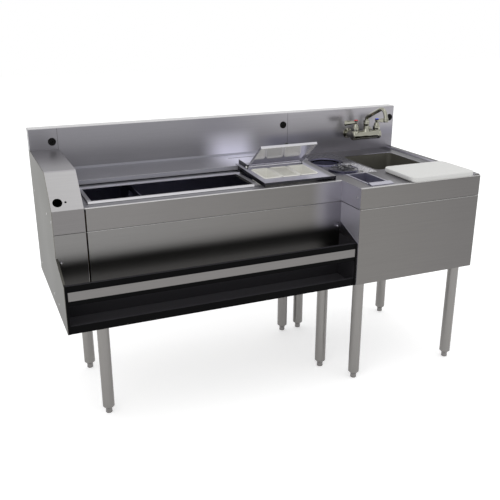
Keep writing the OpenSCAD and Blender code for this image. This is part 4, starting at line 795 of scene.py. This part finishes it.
# Grommets: a moulded flange and four flaps between the slits
grommetRise, grommetIn = 130.0, 20.0
splashEnds = (plane["bin"], plane["station"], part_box("backsplash_right")[1][0])
lipOutline = [(14.0, 0.0), (14.0, 1.2), (13.4, 2.2), (12.4, 2.5), (10.8, 2.3), (10.0, 1.4),
              (9.8, 0.4), (9.8, -5.4), (11.4, -5.4), (11.4, 0.0)]
flapOutline = [(3.0, 0.9), (6.4, 0.6), (9.9, 0.3), (9.9, -1.4), (3.0, -0.9)]
flapAngle, slitAngle = 80, 10
shape = bmesh.new()
for end in splashEnds:
    middle = (end - grommetIn * mm, plane["wall"], plane["top"] + grommetRise * mm)
    place = onAxis(middle, (0, -1, 0))
    addTurned(shape, lipOutline, place, steps=40, closed=True)
    for flap in range(4):
        addTurned(shape, flapOutline, place, steps=8, closed=True,
                  start=flap * (flapAngle + slitAngle) + slitAngle / 2, sweep=flapAngle)
newPiece("grommetsMoulded", shape, "rubber", "cabinet", ["grommets"])

# Leveling feet: a chamfered base, a turned waist and a shoulder under the leg. Weld beads where
# the legs meet their plates
footOutline = [(0, 0), (9.6, 0), (11.0, 0.8), (11.7, 2.2), (11.7, 5.4), (11.2, 6.4), (11.2, 14.0),
               (11.7, 15.0), (11.7, 19.0), (13.6, 21.0), (17.8, 24.4), (19.8, 26.2), (19.9, 27.0),
               (8.0, 27.0), (8.0, 66.4), (7.2, 67.0), (0, 67.0)]
weldOutline = [(20.5, -4.0), (24.4, -4.0), (23.4, -5.2), (21.8, -6.6), (20.5, -8.4)]
welds = bmesh.new()
for number in footNumbers:
    low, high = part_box(f"foot_{number}")
    x, y = (low[0] + high[0]) / 2, (low[1] + high[1]) / 2
    shape = bmesh.new()
    addTurned(shape, footOutline, onAxis((x, y, low[2])), steps=36)
    newPiece(f"levelingFoot{number}", shape, "foot", f"leveler_{number}", [f"foot_{number}"])
    addTurned(welds, weldOutline, onAxis((x, y, plane["base"])), steps=36, closed=True)
newPiece("legWelds", welds, "leg", "cabinet")


# A round wire from left to right with softened ends; places are in metres
def addWire(shape, left, right, y, z, radius):
    length = (right - left) / mm
    end, tip = 0.4, radius * 0.7
    outline = [(0, 0), (tip, 0), (radius, end), (radius, length - end), (tip, length), (0, length)]
    addTurned(shape, outline, onAxis((left, y, z), (1, 0, 0)), steps=12)


# Round wires on the folded edges: the worktops' front edges, the seams under them and the shelf.
# Their bright finish is a painted highlight along these edges
binDepth = 450.0
topEdge = {"in": 1.0, "behind": 1.4, "below": 1.4, "radius": 1.5}
seamEdge = {"in": 2.5, "behind": 0.7, "below": 77.3, "radius": 0.9}
shelfEdge = {"in": 2.0, "behind": 1.3, "below": -23.7, "radius": 1.4}


def addEdge(shape, left, right, front, edge):
    addWire(shape, left + edge["in"] * mm, right - edge["in"] * mm, front + edge["behind"] * mm,
            plane["top"] - edge["below"] * mm, edge["radius"])


shape = bmesh.new()
binFront, stationFront = plane["wall"] - binDepth * mm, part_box("station_front_panel")[0][1]
for left, right, front in ((plane["bin"], plane["station"], binFront),
                           (plane["station"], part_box("station_top")[1][0], stationFront)):
    addEdge(shape, left, right, front, topEdge)
    addEdge(shape, left, right, front, seamEdge)
shelfLow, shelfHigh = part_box("rear_shelf")
addEdge(shape, shelfLow[0], shelfHigh[0], shelfLow[1], shelfEdge)
newPiece("edgeHighlightWires", shape, "screwSteel", "cabinet")

# Dark strip inside the cabinet, behind the seam at the station's left side: painted shade, a dark
# block where light would show through the seam
seamBehind, seamFront, seamRear, seamLow, seamHigh = (1.7, 4.0), 3.0, 20.0, 86.0, 70.0
stripEdge = 0.6
shape = bmesh.new()
low = (plane["station"] + seamBehind[0] * mm, stationFront + seamFront * mm,
       plane["top"] - seamLow * mm)
high = (plane["station"] + seamBehind[1] * mm, plane["wall"] - seamRear * mm,
        plane["top"] - seamHigh * mm)
addBlock(shape, low, high, stripEdge * mm)
newPiece("seamShadeBlock", shape, "underPan", "cabinet")

# Rolled hems on the black rail: round wires along the trough's front lip and the guard bar
hemBehind, lipHeight, lipRadius, barDrop, barRadius = 1.4, 25.2, 1.3, 1.2, 1.2
shape = bmesh.new()
troughLow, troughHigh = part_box("rail_trough")
hemY, barTop = troughLow[1] + hemBehind * mm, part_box("rail_frame")[1][2]
addWire(shape, troughLow[0], troughHigh[0], hemY, plane["base"] + lipHeight * mm, lipRadius)
addWire(shape, troughLow[0], troughHigh[0], hemY, barTop - barDrop * mm, barRadius)
newPiece("railHems", shape, "blackPaint", "cabinet")

# Fine raised seams where the backsplash lengths meet
jointHalf, jointProud, jointDeep, jointRise, jointDrop = 0.5, 0.3, 0.4, 26.0, 2.0
jointEdge = 0.2
shape = bmesh.new()
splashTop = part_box("backsplash_center")[1][2]
for x in (plane["bin"], plane["station"]):
    low = (x - jointHalf * mm, plane["wall"] - jointProud * mm, plane["top"] + jointRise * mm)
    high = (x + jointHalf * mm, plane["wall"] + jointDeep * mm, splashTop - jointDrop * mm)
    addBlock(shape, low, high, jointEdge * mm, 1)
newPiece("splashSeams", shape, "tray", "cabinet")
print("small pieces made")

# Studio: the camera that the photograph was solved for, in metres and degrees, and its lights
studio = {
    "cameraPlace": (-0.9952, -2.2559, 1.3595),
    "turnRight": 23.155,
    "tiltDown": 19.742,
    "lens": 49.64,
    "sensor": 36.0,
    "fillStrength": 0.8,
    "floorTone": 0.86,
    "floorGlow": 0.5,
    "floorHalf": 12.0,
    "key": {"place": (-2.6, -3.0, 3.6), "aim": (0.0, 0.0, 0.6), "size": (3.4, 3.4), "power": 30.0},
    "top": {"place": (0.6, -0.4, 3.8), "aim": (0.2, 0.0, 0.7), "size": (3.0, 2.0), "power": 14.0},
}
white = (1.0, 1.0, 1.0, 1.0)

cameraData = bpy.data.cameras.new("camera")
cameraData.lens = studio["lens"]
cameraData.sensor_width = studio["sensor"]
cameraData.sensor_fit = "HORIZONTAL"
camera = bpy.data.objects.new("camera", cameraData)
camera.location = studio["cameraPlace"]
camera.rotation_euler = Euler((math.radians(90 - studio["tiltDown"]), 0.0,
                               math.radians(-studio["turnRight"])))
bpy.context.scene.collection.objects.link(camera)
bpy.context.scene.camera = camera


# The larger of several ray masks
def anyRay(tree, rays, kinds):
    mask = rays.outputs[kinds[0]]
    for kind in kinds[1:]:
        larger = tree.nodes.new("ShaderNodeMath")
        larger.operation = "MAXIMUM"
        tree.links.new(mask, larger.inputs[0])
        tree.links.new(rays.outputs[kind], larger.inputs[1])
        mask = larger.outputs[0]
    return mask


# The room: white where it is seen or mirrored, a little dimmer as soft fill
def makeWorld():
    world = bpy.data.worlds.new("studioWorld")
    bpy.context.scene.world = world
    world.use_nodes = True
    tree = world.node_tree
    tree.nodes.clear()
    output = tree.nodes.new("ShaderNodeOutputWorld")
    mix = tree.nodes.new("ShaderNodeMixShader")
    fill = tree.nodes.new("ShaderNodeBackground")
    fill.inputs["Color"].default_value = white
    fill.inputs["Strength"].default_value = studio["fillStrength"]
    backdrop = tree.nodes.new("ShaderNodeBackground")
    backdrop.inputs["Color"].default_value = white
    rays = tree.nodes.new("ShaderNodeLightPath")
    seen = anyRay(tree, rays, ["Is Camera Ray", "Is Glossy Ray", "Is Transmission Ray"])
    tree.links.new(seen, mix.inputs["Fac"])
    tree.links.new(fill.outputs[0], mix.inputs[1])
    tree.links.new(backdrop.outputs[0], mix.inputs[2])
    tree.links.new(mix.outputs[0], output.inputs["Surface"])


# White floor that keeps the soft shadow of the legs
def makeFloor():
    material = bpy.data.materials.new("studioFloor")
    material.use_nodes = True
    tree = material.node_tree
    tree.nodes.clear()
    output = tree.nodes.new("ShaderNodeOutputMaterial")
    both = tree.nodes.new("ShaderNodeAddShader")
    matte = tree.nodes.new("ShaderNodeBsdfDiffuse")
    tone = studio["floorTone"]
    matte.inputs["Color"].default_value = (tone, tone, tone, 1.0)
    glow = tree.nodes.new("ShaderNodeEmission")
    level = tree.nodes.new("ShaderNodeMath")
    level.operation = "MULTIPLY"
    level.inputs[1].default_value = studio["floorGlow"]
    rays = tree.nodes.new("ShaderNodeLightPath")
    tree.links.new(anyRay(tree, rays, ["Is Camera Ray", "Is Glossy Ray"]), level.inputs[0])
    tree.links.new(level.outputs[0], glow.inputs["Strength"])
    tree.links.new(matte.outputs[0], both.inputs[0])
    tree.links.new(glow.outputs[0], both.inputs[1])
    tree.links.new(both.outputs[0], output.inputs["Surface"])
    shape = bmesh.new()
    bmesh.ops.create_grid(shape, x_segments=1, y_segments=1, size=studio["floorHalf"])
    data = bpy.data.meshes.new("floor")
    shape.to_mesh(data)
    shape.free()
    data.materials.append(material)
    floor = bpy.data.objects.new("floor", data)
    bpy.context.scene.collection.objects.link(floor)


def softLamp(name, place, aim, size, power):
    data = bpy.data.lights.new(name, "AREA")
    data.shape = "RECTANGLE"
    data.size = size[0]
    data.size_y = size[1]
    data.energy = power
    lamp = bpy.data.objects.new(name, data)
    lamp.location = place
    direction = Vector(aim) - Vector(place)
    lamp.rotation_euler = direction.to_track_quat("-Z", "Y").to_euler()
    bpy.context.scene.collection.objects.link(lamp)


makeWorld()
makeFloor()
softLamp("keyLamp", **studio["key"])
softLamp("topLamp", **studio["top"])
print("studio set")

bpy.context.scene.view_settings.view_transform = "Standard"
